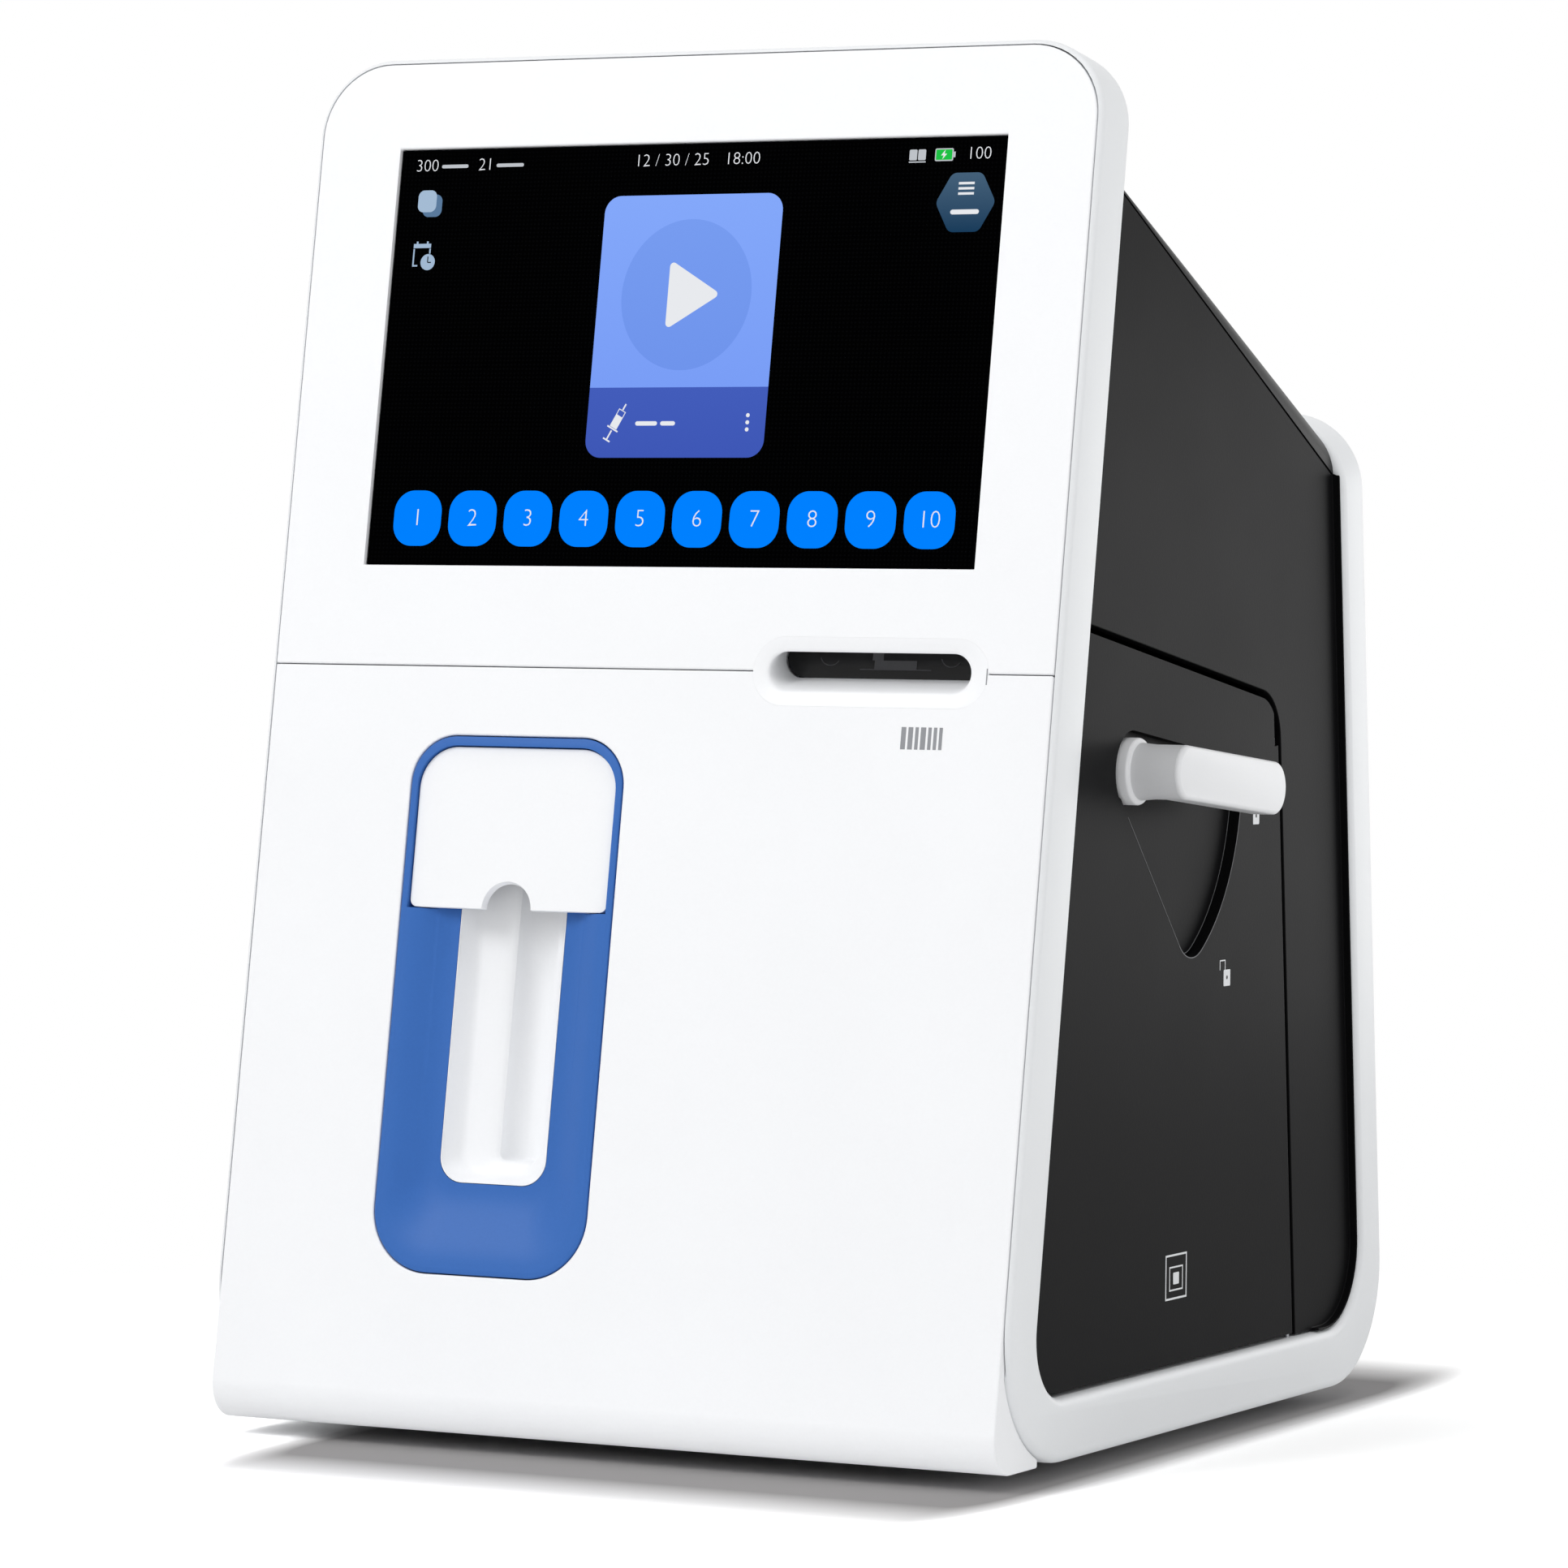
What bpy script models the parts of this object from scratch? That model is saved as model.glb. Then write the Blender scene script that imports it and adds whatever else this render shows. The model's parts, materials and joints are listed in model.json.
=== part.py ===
"""Blood gas analyzer: a bench unit with a leaning touch screen, a blue syringe inlet
and a cartridge bay behind a side door with a lock lever.

Metres, +Z up. The front faces -Y and leans back, the back leans forward. The origin is
on the bench, under the middle of the whole object.
"""
import math

import bmesh
import bpy
from mathutils import Vector

# Leans of the front and the back, from upright
FRONT_LEAN = math.radians(9.11)
REAR_LEAN = math.radians(5.12)

# Gap between neighbours, and how far a cutter runs past what it opens
GAP = 0.0003
OVERRUN = 0.002

# White outer frame: a C seen from the side
PANEL_WIDTH = 0.2197
PANEL_RIM = 0.0013
FRONT_HEIGHT = 0.352
BODY_DEPTH = 0.2456
REAR_HEIGHT = 0.261
FRONT_BAND = 0.0176
REAR_BAND = 0.0147
SOLE_HEIGHT = 0.0157
FRONT_BOTTOM_RADIUS = 0.033
REAR_BOTTOM_RADIUS = 0.031
INNER_FRONT_RADIUS = 0.016
INNER_REAR_RADIUS = 0.021
TOP_CORNER_RADIUS = 0.020
BAND_EDGE = 0.0024
FRAME_FLOOR = 0.0025
FRAME_WALL = 0.0065
FRAME_BACK_WALL = 0.0025
LOWER_LEDGE = 0.014
THROUGH_TOP_MARGIN = 0.052
SOLE_WALL = 0.0092
HALF_WIDTH = PANEL_WIDTH / 2 + GAP + PANEL_RIM

# Front panels
PANEL_THICKNESS = 0.0030
CHIN_RADIUS = 0.0092
CHIN_REACH = 0.026

# Display
SCREEN_WIDTH = 0.1722
SCREEN_HEIGHT_SHARE = 0.30568
SCREEN_HEIGHT = FRONT_HEIGHT * SCREEN_HEIGHT_SHARE
SCREEN_TOP_MARGIN = 0.0242
SCREEN_CENTRE = FRONT_HEIGHT - SCREEN_TOP_MARGIN - SCREEN_HEIGHT / 2
GLASS_THICKNESS = 0.0018
GLASS_RECESS = 0.0010
LCD_MARGIN = 0.0020
LCD_THICKNESS = 0.0080
BRACKET_INSET = 0.0040
BRACKET_MARGIN = 0.0040
BRACKET_SHEET = 0.0015

# Seam between the panels, under the screen
SEAM_MARGIN = 0.0261
PANEL_SEAM = SCREEN_CENTRE - SCREEN_HEIGHT / 2 - SEAM_MARGIN

# Barcode scanner
SCANNER_CENTRE = 0.0603
BEZEL_WIDTH = 0.0644
BEZEL_HEIGHT = 0.0173
BEZEL_DEPTH = 0.0130
SLOT_WIDTH = 0.0570
SLOT_HEIGHT = 0.0110
WINDOW_WIDTH = 0.0565
WINDOW_HEIGHT = 0.0104
FUNNEL_DEPTH = 0.0095
FUNNEL_RISE = 0.0048
WINDOW_THICKNESS = 0.0012
MODULE_DEPTH = 0.0160
MODULE_SINK = 0.0020

# Blue sample inlet
INLET_CENTRE = -0.0363
INLET_WIDTH = 0.0612
INLET_LOW_SHARE = 0.11506
INLET_LOW = FRONT_HEIGHT * INLET_LOW_SHARE
INLET_DROP = 0.0176
INLET_HIGH = PANEL_SEAM - INLET_DROP
INLET_TOP_RADIUS = 0.0125
INLET_BOTTOM_RADIUS = 0.0163
INLET_DEPTH = 0.0072
INLET_RIM = 0.0022
DISH_DEPTH = 0.0047
CHANNEL_WIDTH = 0.0309
CHANNEL_LOW_SHARE = 0.18097
CHANNEL_LOW = FRONT_HEIGHT * CHANNEL_LOW_SHARE
CHANNEL_CORNER = 0.0060
CHANNEL_MARGIN = 0.0018
COLLAR_RIM = 0.0008
TROUGH_WIDTH = 0.0247
TROUGH_DEPTH = 0.0091
SLOPE_WIDTH = 0.0079
SLOPE_DEPTH = 0.0110
SLOPE_RISE = 0.0076
GROOVE_WIDTH = 0.0048
GROOVE_DEPTH = 0.0166
GROOVE_RISE = 0.0092
CHANNEL_WALL = 0.0025
CHANNEL_TOP_RISE = 0.0170

# Sample flap, hung on a pin in its upper third
FLAP_WIDTH = 0.0566
FLAP_HEIGHT_SHARE = 0.11619
FLAP_HEIGHT = FRONT_HEIGHT * FLAP_HEIGHT_SHARE
FLAP_DROP = 0.0029
FLAP_HIGH = INLET_HIGH - FLAP_DROP
FLAP_LOW = FLAP_HIGH - FLAP_HEIGHT
FLAP_THICKNESS = 0.0020
FLAP_RECESS = 0.0010
FLAP_TOP_RADIUS = 0.0105
FLAP_FOOT_RADIUS = 0.0020
FLAP_NOTCH = 0.0068
FLAP_AXIS_DROP = 0.0136
KNUCKLE_SINK = 0.0001
FLAP_PIN_RADIUS = 0.0008
KNUCKLE_RADIUS = 0.0021
KNUCKLE_WIDTH = 0.0080
KNUCKLE_INSET = 0.0050
FLAP_CLEARANCE = 0.0004

# Probe drive behind the inlet
DRIVE_DEPTH = 0.0500
DRIVE_SPREAD = 0.0240
SCREW_RADIUS = 0.0025
ROD_RADIUS = 0.0025
NEEDLE_RADIUS = 0.0009
NEEDLE_LENGTH = 0.0450
CARRIAGE_WIDTH = 0.0380
CARRIAGE_DEPTH = 0.0120
CARRIAGE_HEIGHT = 0.0180
CARRIAGE_LOW = 0.1650
EAR_LOW = 0.1040
EAR_HIGH = 0.2060
DRIVE_SHEET = 0.0040
DRIVE_SIDE = 0.0060
DRIVE_EAR_REACH = 0.0100
STEPPER_SIZE = 0.0280
STEPPER_LENGTH = 0.0300
STEPPER_EDGE = 0.0030

# Dark covers
COVER_RECESS = 0.0029
SIDE_WALL = 0.0032
COVER_GAP = 0.0005
CREASE_DROP_FRONT = 0.0435
CREASE_DROP_REAR = 0.0177
CREASE_FRONT = FRONT_HEIGHT - CREASE_DROP_FRONT
CREASE_REAR = REAR_HEIGHT - CREASE_DROP_REAR
CROWN_FRONT = 0.0021
CROWN_REAR = 0.0150
TOP_FRONT = CREASE_FRONT + CROWN_FRONT
TOP_REAR = CREASE_REAR + CROWN_REAR
TOP_WALL = 0.0022
TOP_EDGE_FRONT = 0.0040
TOP_EDGE_REAR = 0.0160
VENT_WIDTH = 0.0030
VENT_LENGTH = 0.0340
VENT_PITCH = 0.0075
VENT_LOW = 0.0500
VENT_ROWS = 8
VENT_REAR_INSET = 0.0450

# Cartridge door and its hinge
HINGE_INSET = 0.0568
KNUCKLE_DROP_SHARE = 1.2
DOOR_TOP = 0.2080
DOOR_TOP_RADIUS = 0.0120
DOOR_FRONT_RADIUS = 0.0010
DOOR_SILL_GAP = 0.0010
HINGE_RADIUS = 0.00155
DOOR_PIN_RADIUS = 0.0007
DOOR_PIN_LENGTH = 0.0120

# Lock lever on the door
LEVER_PLACE_SHARE = 0.3294
LEVER_Y = BODY_DEPTH * LEVER_PLACE_SHARE
LEVER_Z = 0.1673
LEVER_REST = math.radians(5.4)
LEVER_TURN = math.radians(40.5)
LEVER_LENGTH_SHARE = 0.22476
LEVER_LENGTH = BODY_DEPTH * LEVER_LENGTH_SHARE
LEVER_RADIUS = 0.0068
LEVER_STANDOUT = 0.01555
LEVER_OUT = HALF_WIDTH - COVER_RECESS + LEVER_STANDOUT
LEVER_ARM_THICKNESS = 0.0075
LEVER_EDGE = 0.0016
NECK_RADIUS = 0.0071
FLANGE_RADIUS = 0.0084
FLANGE_THICKNESS = 0.0044
SWEEP_MARGIN = 0.0028
SWEEP_END_MARGIN = 0.0055
SWEEP_DEPTH = 0.0027
TRACK_WIDTH = 0.0050
TRACK_DEPTH = 0.0022
POCKET_RIM = 0.0030
POCKET_WALL = 0.0018
SHAFT_RADIUS = 0.0030
SHAFT_ANCHOR = 0.0090
CAM_THICKNESS = 0.0035
CAM_RADIUS = 0.0065
CAM_REACH = 0.0120

# Steel plates inside
BASE_SHEET = 0.0020
BASE_MARGIN = 0.0030
PLATE_SHEET = 0.0020
PARTITION_X = 0.0090
PLATE_FRONT = 0.0620
PLATE_REAR_INSET = 0.0456
PLATE_REAR = BODY_DEPTH - PLATE_REAR_INSET
PARTITION_HEIGHT = 0.2250
CHASSIS_X = -0.0890
CHASSIS_HEIGHT = 0.2200
STANDOFF_HEIGHT = 0.0040
STANDOFF_RADIUS = 0.0030
STANDOFF_INSET = 0.0080

# Cartridge, its cradle and the warm sensor block
CARTRIDGE_WIDTH = 0.0720
CARTRIDGE_DEPTH = 0.0800
CARTRIDGE_HEIGHT = 0.1210
CARTRIDGE_FRONT = 0.0700
CARTRIDGE_EDGE = 0.0030
CARTRIDGE_GRIP_WIDTH = 0.0400
CARTRIDGE_GRIP_HEIGHT = 0.0120
CARTRIDGE_GRIP_DEPTH = 0.0060
CARTRIDGE_GRIP_DROP = 0.0180
CARTRIDGE_TRAVEL = 0.0450
CRADLE_WALL = 0.0030
CRADLE_SHELF = 0.0260
CRADLE_RISE = 0.0300
CRADLE_LENGTH = 0.0850
BLOCK_THICKNESS = 0.0110
BLOCK_INSET = 0.0100
BLOCK_HEIGHT = 0.0700

# Hose pump on the partition
PUMP_INSET = 0.0340
PUMP_Y = PLATE_REAR - PUMP_INSET
PUMP_Z = 0.1900
PUMP_MOTOR_RADIUS = 0.0160
PUMP_MOTOR_LENGTH = 0.0350
PUMP_SHAFT_RADIUS = 0.0025
PUMP_SHAFT_LENGTH = 0.0160
ROTOR_RADIUS = 0.0120
ROTOR_LOBE = 0.0025
ROTOR_WIDTH = 0.0120
PUMP_HEAD_WALL = 0.0035
PUMP_HEAD_GAP = 0.0020

# Electronics and power inside
BOARD_THICKNESS = 0.0016
BOARD_MARGIN = 0.0030
BOARD_LOW = 0.0600
CHIP_SIZE = 0.0280
CHIP_GAP_ACROSS = 0.0280
CHIP_GAP_UP = 0.0140
CHIP_COLUMNS = 2
CHIP_ROWS = 3
CHIP_HEIGHT = 0.0030
BATTERY_WIDTH = 0.0540
BATTERY_DEPTH_SHARE = 0.53623
BATTERY_DEPTH = (PLATE_REAR - PLATE_FRONT) * BATTERY_DEPTH_SHARE
BATTERY_HEIGHT = 0.0350
SUPPLY_DEPTH_SHARE = 0.37681
SUPPLY_DEPTH = (PLATE_REAR - PLATE_FRONT) * SUPPLY_DEPTH_SHARE
SUPPLY_HEIGHT = 0.0400
CASE_EDGE = 0.0020

# Rear panel, fan and sockets
REAR_PANEL_LOW = 0.0345
REAR_PANEL_TOP_MARGIN = 0.0075
REAR_PANEL_THICKNESS = 0.0025
REAR_RIM = 0.0045
REAR_LEDGE = 0.0070
REAR_TOP_RADIUS = 0.0150
REAR_FOOT_RADIUS = 0.0040
FAN_X = -0.0520
FAN_HEIGHT = 0.1980
FAN_SIZE = 0.0600
FAN_DEPTH = 0.0150
FAN_BORE = 0.0285
FAN_HUB = 0.0105
FAN_ROOT_SHARE = 0.8
FAN_STRUT = 0.0035
FAN_AXLE = 0.0015
FAN_CORNER = 0.0040
FAN_BLADE = 0.0016
FAN_TIP_GAP = 0.0012
GRILLE_SLOT = 0.0032
GRILLE_PITCH = 0.0062
SOCKET_ROW = 0.0640
POWER_X = 0.0720
POWER_WIDTH = 0.0270
POWER_HEIGHT = 0.0200
POWER_DEPTH = 0.0180
POWER_WALL = 0.0025
FLANGE_LIP = 0.0020
LIP_THICKNESS = 0.0013
SWITCH_X = 0.0360
SWITCH_WIDTH = 0.0130
SWITCH_HEIGHT = 0.0190
SWITCH_DEPTH = 0.0150
SWITCH_WALL = 0.0020
ROCKER_TILT = math.radians(8.0)
ROCKER_RISE = 0.0022
ROCKER_DEPTH = 0.0060
ROCKER_CLEARANCE = 0.0008
NETWORK_X = -0.0180
NETWORK_WIDTH = 0.0160
NETWORK_HEIGHT = 0.0140
USB_X = -0.0460
USB_PITCH = 0.0240
USB_WIDTH = 0.0150
USB_HEIGHT = 0.0080
PORT_DEPTH = 0.0160
PORT_WALL = 0.0011

# Feet and screws
FOOT_HEIGHT = 0.0040
FOOT_RADIUS = 0.0090
FOOT_STUD_RADIUS = 0.0025
FOOT_FRONT_Y = 0.0520
FOOT_REAR_INSET = 0.0476
FOOT_REAR_Y = BODY_DEPTH - FOOT_REAR_INSET
FOOT_X = 0.0880
SCREW_HEAD_RADIUS = 0.0028
SCREW_HEAD_HEIGHT = 0.0014
SCREW_SHANK_RADIUS = 0.0014
SCREW_LENGTH = 0.0080
SCREW_INSET = 0.0035

# Facets of round shapes
ARC_STEPS = 6
EDGE_STEPS = 2
SIDES = 24
PIN_SIDES = 12

FINISHES = {
    "white_plastic": ((0.86, 0.87, 0.88), 0.45, 0.0),
    "band_plastic": ((0.80, 0.81, 0.82), 0.45, 0.0),
    "blue_plastic": ((0.055, 0.147, 0.491), 0.45, 0.0),
    "dark_plastic": ((0.035, 0.036, 0.038), 0.50, 0.0),
    "lever_plastic": ((0.72, 0.73, 0.74), 0.40, 0.0),
    "screen_glass": ((0.010, 0.012, 0.016), 0.12, 0.0),
    "steel": ((0.56, 0.57, 0.58), 0.35, 1.0),
    "circuit_board": ((0.02, 0.16, 0.07), 0.50, 0.0),
    "rubber": ((0.02, 0.02, 0.02), 0.80, 0.0),
}


def finish(name: str) -> bpy.types.Material:
    """Material of that name, made on first use."""
    found = bpy.data.materials.get(name)
    if found:
        return found
    colour, roughness, metallic = FINISHES[name]
    made = bpy.data.materials.new(name)
    made.use_nodes = True
    shader = made.node_tree.nodes["Principled BSDF"]
    shader.inputs["Base Color"].default_value = (*colour, 1.0)
    shader.inputs["Roughness"].default_value = roughness
    shader.inputs["Metallic"].default_value = metallic
    return made


def empty(name: str, parent, location=(0, 0, 0), turn=0.0) -> bpy.types.Object:
    """Empty that carries pieces, turned about X."""
    made = bpy.data.objects.new(name, None)
    bpy.context.scene.collection.objects.link(made)
    made.parent = parent
    made.location = location
    made.rotation_euler = (turn, 0, 0)
    return made


# Outlines in a plane

def arc(centre, radius: float, start: float, stop: float, steps=ARC_STEPS) -> list:
    """Points along an arc, both ends included."""
    return [(centre[0] + radius * math.cos(start + (stop - start) * step / steps),
             centre[1] + radius * math.sin(start + (stop - start) * step / steps))
            for step in range(steps + 1)]


def circle(centre, radius: float, sides=SIDES) -> list:
    """Points of a whole circle."""
    return arc(centre, radius, 0.0, 2 * math.pi * (sides - 1) / sides, sides - 1)


def box(low, high) -> list:
    """Corners of a rectangle, counter-clockwise."""
    return [(low[0], low[1]), (high[0], low[1]), (high[0], high[1]), (low[0], high[1])]


def stadium(centre, width: float, height: float) -> list:
    """Outline with half-round ends, longer in its first direction."""
    radius = height / 2
    run = width / 2 - radius
    right = (centre[0] + run, centre[1])
    left = (centre[0] - run, centre[1])
    return (arc(right, radius, -math.pi / 2, math.pi / 2)
            + arc(left, radius, math.pi / 2, 3 * math.pi / 2))


def rounded(corners: list, radii: list, steps=ARC_STEPS) -> list:
    """The outline with each corner rounded by its radius, 0 for a sharp one."""
    points = []
    for index, (corner, radius) in enumerate(zip(corners, radii)):
        here = Vector(corner)
        back = (Vector(corners[index - 1]) - here).normalized()
        ahead = (Vector(corners[(index + 1) % len(corners)]) - here).normalized()
        if radius <= 0:
            points.append(tuple(here))
            continue
        half = back.angle(ahead) / 2
        centre = here + (back + ahead).normalized() * (radius / math.sin(half))
        spoke = here + back * (radius / math.tan(half)) - centre
        side = math.copysign(1, back.y * ahead.x - back.x * ahead.y)
        first = math.atan2(spoke.y, spoke.x)
        points += arc(centre, radius, first, first + side * (math.pi - 2 * half), steps)
    return points


def inset(corners: list, radii: list, amount: float) -> tuple:
    """Counter-clockwise corners and radii moved inwards by an amount."""
    moved = []
    changed = []
    for index, (corner, radius) in enumerate(zip(corners, radii)):
        here = Vector(corner)
        arrive = (here - Vector(corners[index - 1])).normalized()
        leave = (Vector(corners[(index + 1) % len(corners)]) - here).normalized()
        first = Vector((-arrive.y, arrive.x))
        second = Vector((-leave.y, leave.x))
        moved.append(tuple(here + (first + second) * (amount / (1 + first.dot(second)))))
        turn = math.copysign(1, arrive.x * leave.y - arrive.y * leave.x)
        changed.append(max(radius - turn * amount, radius / SIDES) if radius > 0 else 0)
    return moved, changed


# Bodies as stacks of loops

def spot(axis: str, first: float, second: float, along: float) -> tuple:
    """Point from two outline coordinates and its place along the axis."""
    if axis == "X":
        return (along, first, second)
    if axis == "Y":
        return (first, along, second)
    return (first, second, along)


def prism(points: list, low: float, high: float, axis: str) -> list:
    """Loops of an outline drawn out along an axis."""
    return [[spot(axis, a, b, level) for a, b in points] for level in (low, high)]


def soft_prism(corners: list, radii: list, low: float, high: float, axis: str,
               low_edge: float, high_edge: float) -> list:
    """Loops of a drawn-out outline whose two end rims are rounded."""
    levels = []
    for step in range(EDGE_STEPS + 1):
        angle = math.pi / 2 * step / EDGE_STEPS
        if low_edge > 0 or step == EDGE_STEPS:
            levels.append((low + low_edge * (1 - math.cos(angle)),
                           low_edge * (1 - math.sin(angle))))
    for step in range(EDGE_STEPS, -1, -1):
        angle = math.pi / 2 * step / EDGE_STEPS
        if high_edge > 0 or step == EDGE_STEPS:
            levels.append((high - high_edge * (1 - math.cos(angle)),
                           high_edge * (1 - math.sin(angle))))
    loops = []
    for level, amount in levels:
        points = rounded(*inset(corners, radii, amount))
        loops.append([spot(axis, a, b, level) for a, b in points])
    return loops


def block(low, high, edge=0.0) -> list:
    """Loops of an upright box, with rounded upright edges if asked."""
    corners = box(low[:2], high[:2])
    points = rounded(corners, [edge] * 4, 3) if edge > 0 else corners
    return prism(points, low[2], high[2], "Z")


def rod(first: float, second: float, radius: float, low: float, high: float, axis: str,
        sides=SIDES) -> list:
    """Loops of a round bar."""
    return prism(circle((first, second), radius, sides), low, high, axis)


def solid(name: str, bodies: list, pivot: Vector) -> bpy.types.Mesh:
    """Closed mesh of one or more stacks of loops."""
    shape = bmesh.new()
    for loops in bodies:
        rings = [[shape.verts.new(Vector(point) - pivot) for point in loop] for loop in loops]
        count = len(rings[0])
        for lower, upper in zip(rings, rings[1:]):
            for index in range(count):
                after = (index + 1) % count
                shape.faces.new((lower[index], lower[after], upper[after], upper[index]))
        shape.faces.new(list(reversed(rings[0])))
        shape.faces.new(rings[-1])
    bmesh.ops.recalc_face_normals(shape, faces=shape.faces)
    mesh = bpy.data.meshes.new(name)
    shape.to_mesh(mesh)
    shape.free()
    return mesh


def piece(name: str, frame, colour: str, *bodies, pivot=(0, 0, 0)) -> bpy.types.Object:
    """Named piece under an empty, with its origin at the pivot."""
    mesh = solid(name, bodies, Vector(pivot))
    mesh.materials.append(finish(colour))
    mesh.shade_smooth()
    mesh.set_sharp_from_angle(angle=math.radians(32))
    made = bpy.data.objects.new(name, mesh)
    bpy.context.scene.collection.objects.link(made)
    made.parent = frame
    made.location = pivot
    return made


def tool(target, frame, operation: str, *bodies) -> None:
    """Cut a target with hidden bodies, or join them to it."""
    name = f"{target.name}_{operation.lower()}_{len(target.modifiers)}"
    helper = bpy.data.objects.new(name, solid(name, bodies, Vector((0, 0, 0))))
    bpy.context.scene.collection.objects.link(helper)
    helper.parent = frame
    helper.hide_render = True
    helper.display_type = "WIRE"
    change = target.modifiers.new(name, "BOOLEAN")
    change.operation = operation
    change.solver = "EXACT"
    change.object = helper


def cut(target, frame, *bodies) -> None:
    """Take bodies away from a piece."""
    tool(target, frame, "DIFFERENCE", *bodies)


def join(target, frame, *bodies) -> None:
    """Make bodies part of a piece."""
    tool(target, frame, "UNION", *bodies)


# Lines of the leaning body, seen from the side

def front_y(depth: float, height: float) -> float:
    """Y of the plane that lies a depth behind the front face, at a height."""
    return height * math.tan(FRONT_LEAN) + depth / math.cos(FRONT_LEAN)


def rear_y(depth: float, height: float) -> float:
    """Y of the plane that lies a depth in front of the back, at a height."""
    return BODY_DEPTH - height * math.tan(REAR_LEAN) - depth / math.cos(REAR_LEAN)


def front_point(depth: float, up: float) -> tuple:
    """Side-view point from a depth behind the front face and a way up along it."""
    return (up * math.sin(FRONT_LEAN) + depth * math.cos(FRONT_LEAN),
            up * math.cos(FRONT_LEAN) - depth * math.sin(FRONT_LEAN))


def rear_point(depth: float, up: float) -> tuple:
    """Side-view point from a depth in front of the back and a way up along it."""
    return (BODY_DEPTH - up * math.sin(REAR_LEAN) - depth * math.cos(REAR_LEAN),
            up * math.cos(REAR_LEAN) - depth * math.sin(REAR_LEAN))


def level_at_rear(up: float, depth: float) -> tuple:
    """Where a line square to the front face meets a plane in front of the back."""
    start = BODY_DEPTH - depth / math.cos(REAR_LEAN)
    height = ((up - start * math.sin(FRONT_LEAN))
              / (math.cos(FRONT_LEAN) - math.tan(REAR_LEAN) * math.sin(FRONT_LEAN)))
    return (start - height * math.tan(REAR_LEAN), height)


def tray_span() -> tuple:
    """Front and rear ends of the sole's hollow, where its underside is flat."""
    front = FRONT_BOTTOM_RADIUS / math.tan((math.pi / 2 - FRONT_LEAN) / 2)
    rear = REAR_BOTTOM_RADIUS / math.tan((math.pi / 2 - REAR_LEAN) / 2)
    return (front, BODY_DEPTH - rear)


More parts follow.
